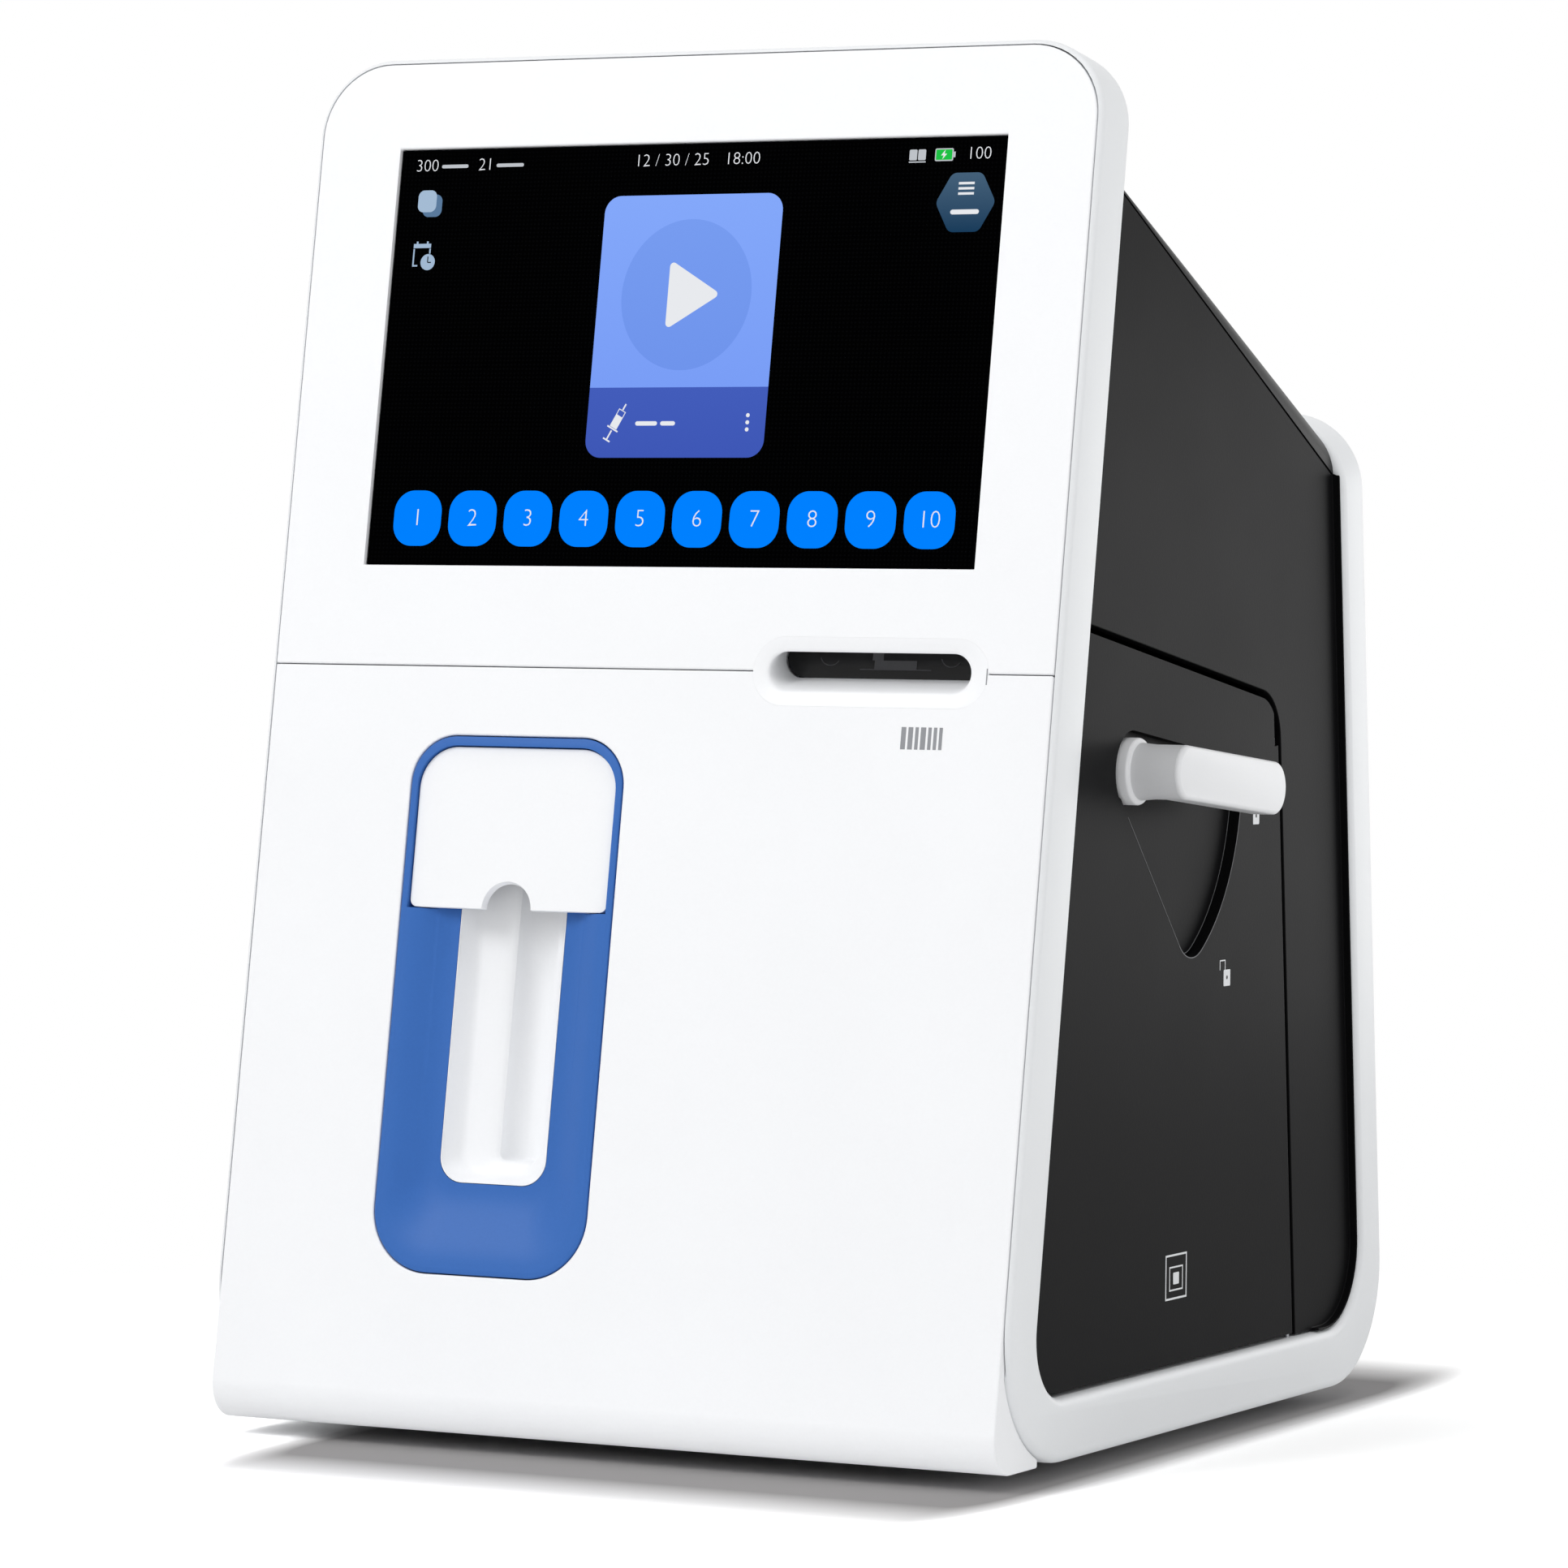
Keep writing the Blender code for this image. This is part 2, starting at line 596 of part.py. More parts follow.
def outer_frame(body, front, rear) -> None:
    """White frame: front ring, sole tray and rear ring in one piece."""
    corners = [(0, 0), (BODY_DEPTH, 0), rear_point(0, REAR_HEIGHT),
               rear_point(REAR_BAND, REAR_HEIGHT),
               (rear_y(REAR_BAND, SOLE_HEIGHT), SOLE_HEIGHT),
               (front_y(FRONT_BAND, SOLE_HEIGHT), SOLE_HEIGHT),
               front_point(FRONT_BAND, FRONT_HEIGHT), front_point(0, FRONT_HEIGHT)]
    radii = [FRONT_BOTTOM_RADIUS, REAR_BOTTOM_RADIUS, 0, 0,
             INNER_REAR_RADIUS, INNER_FRONT_RADIUS, 0, 0]
    frame = piece("outer_frame", body, "band_plastic",
                  soft_prism(corners, radii, -HALF_WIDTH, HALF_WIDTH, "X", BAND_EDGE, BAND_EDGE))
    pocket = PANEL_WIDTH / 2 + GAP
    hollow = HALF_WIDTH - FRAME_WALL
    back = FRONT_BAND - FRAME_BACK_WALL
    front_floor = PANEL_THICKNESS + GAP
    for height, depth, band, place in ((FRONT_HEIGHT, 0, FRONT_BAND, front),
                                       (REAR_HEIGHT, -REAR_BAND, REAR_BAND, rear)):
        for side in (-1, 1):
            centre = (side * (HALF_WIDTH - TOP_CORNER_RADIUS), height - TOP_CORNER_RADIUS)
            start = math.pi / 2 - side * math.pi / 2
            curve = arc(centre, TOP_CORNER_RADIUS, start, math.pi / 2)
            edge = side * (HALF_WIDTH + OVERRUN)
            corner = curve + [(centre[0], height + OVERRUN), (edge, height + OVERRUN),
                              (edge, centre[1])]
            cut(frame, place, prism(corner, depth - OVERRUN, depth + band + OVERRUN, "Y"))
    top_radius = TOP_CORNER_RADIUS - PANEL_RIM
    panel_pocket = rounded(box((-pocket, -SOLE_HEIGHT), (pocket, FRONT_HEIGHT - PANEL_RIM)),
                           [0, 0, top_radius, top_radius])
    cut(frame, front, prism(panel_pocket, -OVERRUN, front_floor, "Y"))
    cut(frame, front, prism(box((-hollow, LOWER_LEDGE + SOLE_HEIGHT),
                                (hollow, FRONT_HEIGHT - LOWER_LEDGE)),
                            0, back, "Y"))
    cut(frame, front, prism(box((-hollow, LOWER_LEDGE + SOLE_HEIGHT),
                                (hollow, FRONT_HEIGHT - THROUGH_TOP_MARGIN)),
                            0, FRONT_BAND + OVERRUN, "Y"))
    rear_pocket = HALF_WIDTH - REAR_RIM
    rear_top = REAR_HEIGHT - REAR_PANEL_TOP_MARGIN
    rear_outline = rounded(box((-rear_pocket, REAR_PANEL_LOW), (rear_pocket, rear_top)),
                           [REAR_FOOT_RADIUS, REAR_FOOT_RADIUS, REAR_TOP_RADIUS, REAR_TOP_RADIUS])
    cut(frame, rear, prism(rear_outline, -REAR_PANEL_THICKNESS - 2 * GAP, OVERRUN, "Y"))
    ledge = rear_pocket - REAR_LEDGE
    cut(frame, rear, prism(rounded(box((-ledge, REAR_PANEL_LOW + REAR_LEDGE),
                                       (ledge, rear_top - REAR_LEDGE)), [REAR_FOOT_RADIUS] * 4),
                           -REAR_BAND - OVERRUN, OVERRUN, "Y"))
    tray_side = HALF_WIDTH - SOLE_WALL
    tray_front, tray_rear = tray_span()
    cut(frame, body, block((-tray_side, tray_front, FRAME_FLOOR),
                           (tray_side, tray_rear, SOLE_HEIGHT + OVERRUN), BAND_EDGE))
    holes = [rod(x, y, FOOT_STUD_RADIUS + GAP, -OVERRUN, FRAME_FLOOR + OVERRUN, "Z", PIN_SIDES)
             for x, y in foot_places()]
    cut(frame, body, *holes)
    cut(frame, rear, *[rod(x, z, SCREW_SHANK_RADIUS + GAP, -SCREW_LENGTH - 2 * GAP, OVERRUN, "Y",
                           PIN_SIDES) for x, z in screw_places()])
    sole = hinge_level(SOLE_HEIGHT)
    cut(frame, rear, hinge_bore(sole - DOOR_PIN_LENGTH / 2, sole + OVERRUN))


# Front of the unit

def inlet_outline(amount: float) -> list:
    """Outline of the blue inlet, moved inwards by an amount."""
    left = INLET_CENTRE - INLET_WIDTH / 2
    right = INLET_CENTRE + INLET_WIDTH / 2
    corners = box((left, INLET_LOW), (right, INLET_HIGH))
    radii = [INLET_BOTTOM_RADIUS, INLET_BOTTOM_RADIUS, INLET_TOP_RADIUS, INLET_TOP_RADIUS]
    return rounded(*inset(corners, radii, amount))


def front_panels(body, front) -> None:
    """Upper panel round the screen, and lower panel with the chin."""
    half = PANEL_WIDTH / 2
    radius = TOP_CORNER_RADIUS - PANEL_RIM
    top = FRONT_HEIGHT - PANEL_RIM - GAP
    bezel = [prism(stadium((SCANNER_CENTRE, PANEL_SEAM), BEZEL_WIDTH, BEZEL_HEIGHT),
                   -OVERRUN, PANEL_THICKNESS + OVERRUN, "Y")]
    upper = piece("front_panel_upper", front, "white_plastic",
                  prism(rounded(box((-half, PANEL_SEAM + GAP / 2), (half, top)),
                                [0, 0, radius, radius]), 0, PANEL_THICKNESS, "Y"))
    window_x = SCREEN_WIDTH / 2 + GAP
    window_z = SCREEN_HEIGHT / 2 + GAP
    cut(upper, front, prism(box((-window_x, SCREEN_CENTRE - window_z),
                                (window_x, SCREEN_CENTRE + window_z)),
                            -OVERRUN, PANEL_THICKNESS + OVERRUN, "Y"))
    cut(upper, front, *bezel)

    tangent = tray_span()[0]
    reach = FRONT_BOTTOM_RADIUS + GAP
    start = math.pi - FRONT_LEAN + math.acos((FRONT_BOTTOM_RADIUS - PANEL_THICKNESS) / reach)
    stop = 3 * math.pi / 2 - math.asin((tangent - CHIN_REACH) / reach)
    inner = arc((tangent, FRONT_BOTTOM_RADIUS), reach, stop, start)
    seam = PANEL_SEAM - GAP / 2
    skin = rounded([front_point(0, seam), (0, 0), (CHIN_REACH, 0)], [0, CHIN_RADIUS, 0])
    lower = piece("front_panel_lower", body, "white_plastic",
                  prism(skin + inner + [front_point(PANEL_THICKNESS, seam)], -half, half, "X"))
    cut(lower, front, prism(inlet_outline(0), -OVERRUN, PANEL_THICKNESS + OVERRUN, "Y"))
    cut(lower, front, *bezel)


def display(front) -> None:
    """Touch glass in the upper panel, the screen behind it and its bracket."""
    half_x = SCREEN_WIDTH / 2
    half_z = SCREEN_HEIGHT / 2
    piece("touch_glass", front, "screen_glass",
          prism(box((-half_x, SCREEN_CENTRE - half_z), (half_x, SCREEN_CENTRE + half_z)),
                GLASS_RECESS, GLASS_RECESS + GLASS_THICKNESS, "Y"))
    half_x += LCD_MARGIN
    half_z += LCD_MARGIN
    face = max(PANEL_THICKNESS, GLASS_RECESS + GLASS_THICKNESS) + GAP
    back = face + LCD_THICKNESS
    piece("lcd_module", front, "steel",
          prism(box((-half_x, SCREEN_CENTRE - half_z), (half_x, SCREEN_CENTRE + half_z)),
                face, back, "Y"))
    half_x -= BRACKET_INSET
    half_z += BRACKET_MARGIN
    piece("display_bracket", front, "steel",
          prism(box((-half_x, SCREEN_CENTRE - half_z), (half_x, SCREEN_CENTRE + half_z)),
                back + GAP, back + GAP + BRACKET_SHEET, "Y"))


def scanner(front) -> None:
    """Bezel whose funnel climbs inwards, its dark window and the reader behind."""
    front_centre = (SCANNER_CENTRE, PANEL_SEAM)
    centre = (SCANNER_CENTRE, PANEL_SEAM + FUNNEL_RISE)
    bezel = piece("scanner_bezel", front, "white_plastic",
                  prism(stadium(front_centre, BEZEL_WIDTH - 2 * GAP, BEZEL_HEIGHT - 2 * GAP),
                        0, FUNNEL_DEPTH, "Y"))
    join(bezel, front, prism(stadium(centre, BEZEL_WIDTH, BEZEL_HEIGHT),
                             PANEL_THICKNESS + GAP, BEZEL_DEPTH, "Y"))
    mouth = stadium(front_centre, SLOT_WIDTH, SLOT_HEIGHT)
    throat = stadium(centre, WINDOW_WIDTH, WINDOW_HEIGHT)
    funnel = [[spot("Y", a, b, level) for a, b in points]
              for points, level in ((mouth, -OVERRUN), (mouth, 0), (throat, FUNNEL_DEPTH),
                                    (throat, BEZEL_DEPTH + OVERRUN))]
    cut(bezel, front, funnel)
    piece("scanner_window", front, "screen_glass",
          prism(stadium(centre, WINDOW_WIDTH - 2 * GAP, WINDOW_HEIGHT - 2 * GAP),
                FUNNEL_DEPTH + GAP, FUNNEL_DEPTH + GAP + WINDOW_THICKNESS, "Y"))
    half_x = WINDOW_WIDTH / 2 - MODULE_SINK
    half_z = BEZEL_HEIGHT / 2 - MODULE_SINK
    piece("scanner_module", front, "dark_plastic",
          prism(box((centre[0] - half_x, centre[1] - half_z),
                    (centre[0] + half_x, centre[1] + half_z)),
                BEZEL_DEPTH + GAP, BEZEL_DEPTH + GAP + MODULE_DEPTH, "Y"))


def flap_axis() -> tuple:
    """Depth behind the front face and way up of the flap's hinge axis."""
    return (FLAP_RECESS + KNUCKLE_RADIUS + KNUCKLE_SINK, FLAP_HIGH - FLAP_AXIS_DROP)


def sample_inlet(front) -> None:
    """Blue surround, the channel that takes the syringe, and the flap over it."""
    surround = piece("sample_surround", front, "blue_plastic",
                     prism(inlet_outline(GAP), 0, INLET_DEPTH, "Y"))
    centre = INLET_CENTRE
    opening_x = FLAP_WIDTH / 2 + GAP
    opening_low = FLAP_LOW - FLAP_CLEARANCE
    opening_high = FLAP_HIGH + GAP
    radius = FLAP_TOP_RADIUS + GAP
    dish_side = INLET_WIDTH / 2 - INLET_RIM
    dish_low = INLET_LOW + INLET_RIM
    dish_radius = INLET_BOTTOM_RADIUS - INLET_RIM
    floor_side = CHANNEL_WIDTH / 2 + CHANNEL_MARGIN
    floor_low = CHANNEL_LOW - CHANNEL_MARGIN
    dish_top = opening_low + CHANNEL_MARGIN
    floor_radius = CHANNEL_CORNER + CHANNEL_MARGIN
    wide = rounded(box((centre - dish_side, dish_low), (centre + dish_side, dish_top)),
                   [dish_radius, dish_radius, GAP, GAP])
    deep = rounded(box((centre - floor_side, floor_low), (centre + floor_side, dish_top)),
                   [floor_radius, floor_radius, GAP, GAP])
    cut(surround, front, [[spot("Y", a, b, level) for a, b in points]
                          for points, level in ((wide, -OVERRUN), (wide, 0), (deep, DISH_DEPTH))])
    cut(surround, front, prism(rounded(box((centre - opening_x, opening_low),
                                           (centre + opening_x, opening_high)),
                                       [0, 0, radius, radius]),
                               -OVERRUN, INLET_DEPTH + OVERRUN, "Y"))
    half = CHANNEL_WIDTH / 2
    cut(surround, front, prism(rounded(box((centre - half, CHANNEL_LOW), (centre + half, dish_top)),
                                       [CHANNEL_CORNER, CHANNEL_CORNER, 0, 0]),
                               -OVERRUN, INLET_DEPTH + OVERRUN, "Y"))
    depth, height = flap_axis()
    pin_half = INLET_WIDTH / 2 - INLET_RIM / 2
    cut(surround, front, rod(depth, height, FLAP_PIN_RADIUS + GAP, centre - pin_half - GAP,
                             centre + pin_half + GAP, "X", PIN_SIDES))
    piece("flap_pin", front, "steel",
          rod(depth, height, FLAP_PIN_RADIUS, centre - pin_half, centre + pin_half, "X", PIN_SIDES),
          pivot=(centre, depth, height))

    outer = half + CHANNEL_WALL
    top = FLAP_LOW + CHANNEL_TOP_RISE
    channel = piece("syringe_channel", front, "white_plastic",
                    prism(rounded(box((centre - outer, CHANNEL_LOW - CHANNEL_WALL),
                                      (centre + outer, top)),
                                  [CHANNEL_CORNER, CHANNEL_CORNER, 0, 0]),
                          INLET_DEPTH + GAP, GROOVE_DEPTH + CHANNEL_WALL, "Y"))
    collar = half - GAP
    join(channel, front, prism(rounded(box((centre - collar, CHANNEL_LOW + GAP),
                                           (centre + collar, top)),
                                       [CHANNEL_CORNER, CHANNEL_CORNER, 0, 0]),
                               DISH_DEPTH, INLET_DEPTH + CHANNEL_WALL, "Y"))
    mouth_low = CHANNEL_LOW + COLLAR_RIM
    mouth_width = CHANNEL_WIDTH - 2 * COLLAR_RIM
    slope_radius = SLOPE_WIDTH / 3
    groove_radius = GROOVE_WIDTH / 3
    rows = ((mouth_width, mouth_low, DISH_DEPTH - OVERRUN, CHANNEL_CORNER),
            (mouth_width, mouth_low, DISH_DEPTH, CHANNEL_CORNER),
            (TROUGH_WIDTH, CHANNEL_LOW + SLOPE_RISE / 2, TROUGH_DEPTH, CHANNEL_CORNER),
            (SLOPE_WIDTH, CHANNEL_LOW + SLOPE_RISE, SLOPE_DEPTH, slope_radius))
    over = top + OVERRUN
    trough = [[spot("Y", a, b, level) for a, b in
               rounded(box((centre - width / 2, low), (centre + width / 2, over)),
                       [radius, radius, 0, 0])] for width, low, level, radius in rows]
    cut(channel, front, trough)
    groove = rounded(box((centre - GROOVE_WIDTH / 2, CHANNEL_LOW + GROOVE_RISE),
                         (centre + GROOVE_WIDTH / 2, over)), [groove_radius, groove_radius, 0, 0])
    cut(channel, front, prism(groove, DISH_DEPTH, GROOVE_DEPTH, "Y"))

    side = FLAP_WIDTH / 2
    corners = box((centre - side, FLAP_LOW), (centre + side, FLAP_HIGH))
    flap = piece("sample_flap", front, "white_plastic",
                 prism(rounded(corners, [FLAP_FOOT_RADIUS, FLAP_FOOT_RADIUS,
                                         FLAP_TOP_RADIUS, FLAP_TOP_RADIUS]),
                       FLAP_RECESS, FLAP_RECESS + FLAP_THICKNESS, "Y"),
                 pivot=(centre, depth, height))
    cut(flap, front, rod(centre, FLAP_LOW, FLAP_NOTCH, 0, FLAP_RECESS + FLAP_THICKNESS + OVERRUN,
                         "Y"))
    outer_end = side - KNUCKLE_INSET
    inner_end = outer_end - KNUCKLE_WIDTH
    for start, stop in ((-outer_end, -inner_end), (inner_end, outer_end)):
        join(flap, front, rod(depth, height, KNUCKLE_RADIUS, centre + start, centre + stop, "X",
                              PIN_SIDES))
    cut(flap, front, rod(depth, height, FLAP_PIN_RADIUS + GAP, centre - side, centre + side, "X",
                         PIN_SIDES))


def probe_drive(front) -> None:
    """Screw, guide rod, carriage and needle that take the sample, on their bracket."""
    centre = INLET_CENTRE
    screw_x = centre + DRIVE_SPREAD / 2
    rod_x = centre - DRIVE_SPREAD / 2
    near = DRIVE_DEPTH - CARRIAGE_DEPTH / 2
    far = DRIVE_DEPTH + CARRIAGE_DEPTH / 2
    wall = far + DRIVE_SIDE
    ear_top = EAR_HIGH + DRIVE_SHEET
    ear_reach = DRIVE_DEPTH - DRIVE_EAR_REACH + GAP
    profile = [(ear_reach, EAR_LOW), (wall + DRIVE_SHEET, EAR_LOW), (wall + DRIVE_SHEET, ear_top),
               (ear_reach, ear_top), (ear_reach, EAR_HIGH), (wall, EAR_HIGH),
               (wall, EAR_LOW + DRIVE_SHEET), (ear_reach, EAR_LOW + DRIVE_SHEET)]
    left = centre - CARRIAGE_WIDTH / 2 - DRIVE_SIDE
    bracket = piece("sampler_bracket", front, "steel",
                    prism(profile, left, PARTITION_X - PLATE_SHEET / 2 - GAP, "X"))
    hole_low = EAR_LOW - OVERRUN
    hole_high = ear_top + OVERRUN
    cut(bracket, front,
        rod(screw_x, DRIVE_DEPTH, SCREW_RADIUS + GAP, hole_low, hole_high, "Z", PIN_SIDES),
        rod(rod_x, DRIVE_DEPTH, ROD_RADIUS + GAP, hole_low, hole_high, "Z", PIN_SIDES),
        rod(centre, DRIVE_DEPTH, NEEDLE_RADIUS + 2 * GAP, hole_low, EAR_HIGH - OVERRUN, "Z",
            PIN_SIDES))
    piece("lead_screw", front, "steel",
          rod(screw_x, DRIVE_DEPTH, SCREW_RADIUS, EAR_LOW, ear_top - GAP, "Z", PIN_SIDES),
          pivot=(screw_x, DRIVE_DEPTH, EAR_LOW))
    piece("guide_rod", front, "steel",
          rod(rod_x, DRIVE_DEPTH, ROD_RADIUS, EAR_LOW, ear_top - GAP, "Z", PIN_SIDES))
    pivot = (centre, DRIVE_DEPTH, CARRIAGE_LOW)
    half = CARRIAGE_WIDTH / 2
    carriage = piece("probe_carriage", front, "dark_plastic",
                     block((centre - half, near, CARRIAGE_LOW),
                           (centre + half, far, CARRIAGE_LOW + CARRIAGE_HEIGHT)), pivot=pivot)
    hole_low = CARRIAGE_LOW - OVERRUN
    hole_high = CARRIAGE_LOW + CARRIAGE_HEIGHT + OVERRUN
    cut(carriage, front,
        rod(screw_x, DRIVE_DEPTH, SCREW_RADIUS + GAP, hole_low, hole_high, "Z", PIN_SIDES),
        rod(rod_x, DRIVE_DEPTH, ROD_RADIUS + GAP, hole_low, hole_high, "Z", PIN_SIDES),
        rod(centre, DRIVE_DEPTH, NEEDLE_RADIUS + GAP, hole_low, CARRIAGE_LOW + CARRIAGE_HEIGHT / 2,
            "Z", PIN_SIDES))
    needle_top = CARRIAGE_LOW + CARRIAGE_HEIGHT / 2 - GAP
    piece("probe_needle", front, "steel",
          rod(centre, DRIVE_DEPTH, NEEDLE_RADIUS, needle_top - NEEDLE_LENGTH, needle_top, "Z",
              PIN_SIDES), pivot=pivot)
    half = STEPPER_SIZE / 2
    low = ear_top + GAP
    piece("stepper_motor", front, "dark_plastic",
          block((screw_x - half, DRIVE_DEPTH - half, low),
                (screw_x + half, DRIVE_DEPTH + half, low + STEPPER_LENGTH), STEPPER_EDGE))


# Dark covers of the body

def cover_half_width() -> float:
    """Half of the width across the dark covers."""
    return HALF_WIDTH - COVER_RECESS


def top_cover(body) -> None:
    """Lid whose side edges grow rounder towards the back."""
    half = cover_half_width()
    loops = []
    for share in (0, 0.5, 1):
        crease = CREASE_FRONT + (CREASE_REAR - CREASE_FRONT) * share
        crown = TOP_FRONT + (TOP_REAR - TOP_FRONT) * share
        edge = TOP_EDGE_FRONT + (TOP_EDGE_REAR - TOP_EDGE_FRONT) * share
        outer = [(edge * math.cos(angle), crease + (crown - crease) * math.sin(angle))
                 for angle in [math.pi / 2 * step / ARC_STEPS for step in range(ARC_STEPS + 1)]]
        inner = [(edge * math.cos(angle), crease + (crown - TOP_WALL - crease) * math.sin(angle))
                 for angle in [math.pi / 2 * step / ARC_STEPS for step in range(ARC_STEPS + 1)]]
        right = [(half - edge + along, height) for along, height in outer]
        right_in = [(half - TOP_WALL - edge + along, height) for along, height in inner]
        section = (right + [(-x, z) for x, z in reversed(right)]
                   + [(-x, z) for x, z in right_in] + list(reversed(right_in)))
        start = front_y(FRONT_BAND + GAP, CREASE_FRONT)
        place = start + (rear_y(REAR_BAND + GAP, CREASE_REAR) - start) * share
        lean = (1 - share) * math.tan(FRONT_LEAN) - share * math.tan(REAR_LEAN)
        loops.append([(x, place + (z - crease) * lean, z) for x, z in section])
    piece("top_cover", body, "dark_plastic", loops)


def cover_corners(sill: float) -> list:
    """Corners of a side cover inside the frame, counter-clockwise from front low."""
    low = SOLE_HEIGHT + sill
    return [(front_y(FRONT_BAND + COVER_GAP, low), low),
            (rear_y(REAR_BAND + COVER_GAP, low), low),
            (rear_y(REAR_BAND + COVER_GAP, CREASE_REAR), CREASE_REAR - COVER_GAP),
            (front_y(FRONT_BAND + COVER_GAP, CREASE_FRONT), CREASE_FRONT - COVER_GAP)]


def door_corners(spread: float, sill: float) -> list:
    """Corners of the door, grown by a spread at its top and hinge side."""
    low = SOLE_HEIGHT + sill
    return [(front_y(FRONT_BAND + COVER_GAP, low), low),
            (rear_y(HINGE_INSET - spread, low), low),
            level_at_rear(DOOR_TOP + spread, HINGE_INSET - spread),
            front_point(FRONT_BAND + COVER_GAP, DOOR_TOP + spread)]


def hinge_x() -> float:
    """Place of the hinge axis, in the middle of the side wall."""
    return cover_half_width() - SIDE_WALL / 2


def hinge_bore(low: float, high: float, radius=DOOR_PIN_RADIUS + GAP) -> list:
    """Round bar on the hinge axis between two heights, in the rear face's frame."""
    return rod(hinge_x(), -HINGE_INSET, radius, low, high, "Z", PIN_SIDES)


def hinge_level(height: float) -> float:
    """Place along the hinge axis that lies at a height."""
    return (height + HINGE_INSET * math.sin(REAR_LEAN)) / math.cos(REAR_LEAN)


def hinge_span() -> tuple:
    """Lowest and highest place of the door's knuckle along the hinge axis."""
    high = hinge_level(level_at_rear(DOOR_TOP, HINGE_INSET)[1])
    return (hinge_level(SOLE_HEIGHT + DOOR_SILL_GAP), high - KNUCKLE_DROP_SHARE * DOOR_TOP_RADIUS)


def side_covers(body, rear) -> None:
    """Left cover with vents, and right cover that leaves room for the door."""
    outer = cover_half_width()
    inner = outer - SIDE_WALL
    radii = [INNER_FRONT_RADIUS, INNER_REAR_RADIUS, 0, 0]
    left = piece("side_cover_left", body, "dark_plastic",
                 prism(rounded(cover_corners(COVER_GAP), radii), -outer, -inner, "X"))
    vents = []
    for row in range(VENT_ROWS):
        height = VENT_LOW + row * VENT_PITCH
        right = rear_y(VENT_REAR_INSET, height)
        vents.append(prism(stadium((right - VENT_LENGTH / 2, height), VENT_LENGTH, VENT_WIDTH),
                           -outer - OVERRUN, -inner + OVERRUN, "X"))
    cut(left, body, *vents)
    right = piece("side_cover_right", body, "dark_plastic",
                  prism(rounded(cover_corners(COVER_GAP), radii), inner, outer, "X"))
    spread = HINGE_RADIUS + COVER_GAP
    hole = door_corners(spread, -OVERRUN)
    hole[0] = (hole[0][0] - OVERRUN, hole[0][1])
    hole[3] = (hole[3][0] - OVERRUN * math.cos(FRONT_LEAN),
               hole[3][1] + OVERRUN * math.sin(FRONT_LEAN))
    cut(right, body, prism(rounded(hole, [0, 0, DOOR_TOP_RADIUS + spread, 0]),
                           inner - OVERRUN, outer + OVERRUN, "X"))
    high = hinge_span()[1]
    join(right, rear, prism(rounded(box((inner + GAP, -HINGE_INSET - SIDE_WALL / 2),
                                        (outer - GAP, -HINGE_INSET + 2 * SIDE_WALL)),
                                    [GAP] * 4, 1),
                            high + COVER_GAP, high + DOOR_PIN_LENGTH / 2 + COVER_GAP, "Z"))
    cut(right, rear, hinge_bore(high - OVERRUN, high + DOOR_PIN_LENGTH / 2 - COVER_GAP))


def lever_direction(angle: float) -> tuple:
    """Unit direction of the lever in the side view."""
    return (math.cos(angle), math.sin(angle))


def lever_sweep(half_width: float, reach: float) -> list:
    """Outline that the lever covers between its two ends."""
    rest = -LEVER_REST
    free = rest - LEVER_TURN
    quarter = math.pi / 2
    pivot = (LEVER_Y, LEVER_Z)
    run = reach - half_width
    tips = [tuple(Vector(pivot) + run * Vector(lever_direction(angle))) for angle in (free, rest)]
    return (arc(tips[0], half_width, free - quarter, free, 4)[:-1]
            + arc(pivot, reach, free, rest)
            + arc(tips[1], half_width, rest, rest + quarter, 4)[1:]
            + arc(pivot, half_width, rest + quarter, free + 3 * quarter))


def lever_track(half_width: float, reach: float) -> list:
    """Outline of the narrow track along the outer edge of the sweep."""
    rest = -LEVER_REST
    free = rest - LEVER_TURN
    pivot = (LEVER_Y, LEVER_Z)
    edge = half_width / reach / 2
    return (arc(pivot, reach, free - edge, rest + edge)
            + arc(pivot, reach - TRACK_WIDTH, rest + edge, free - edge))


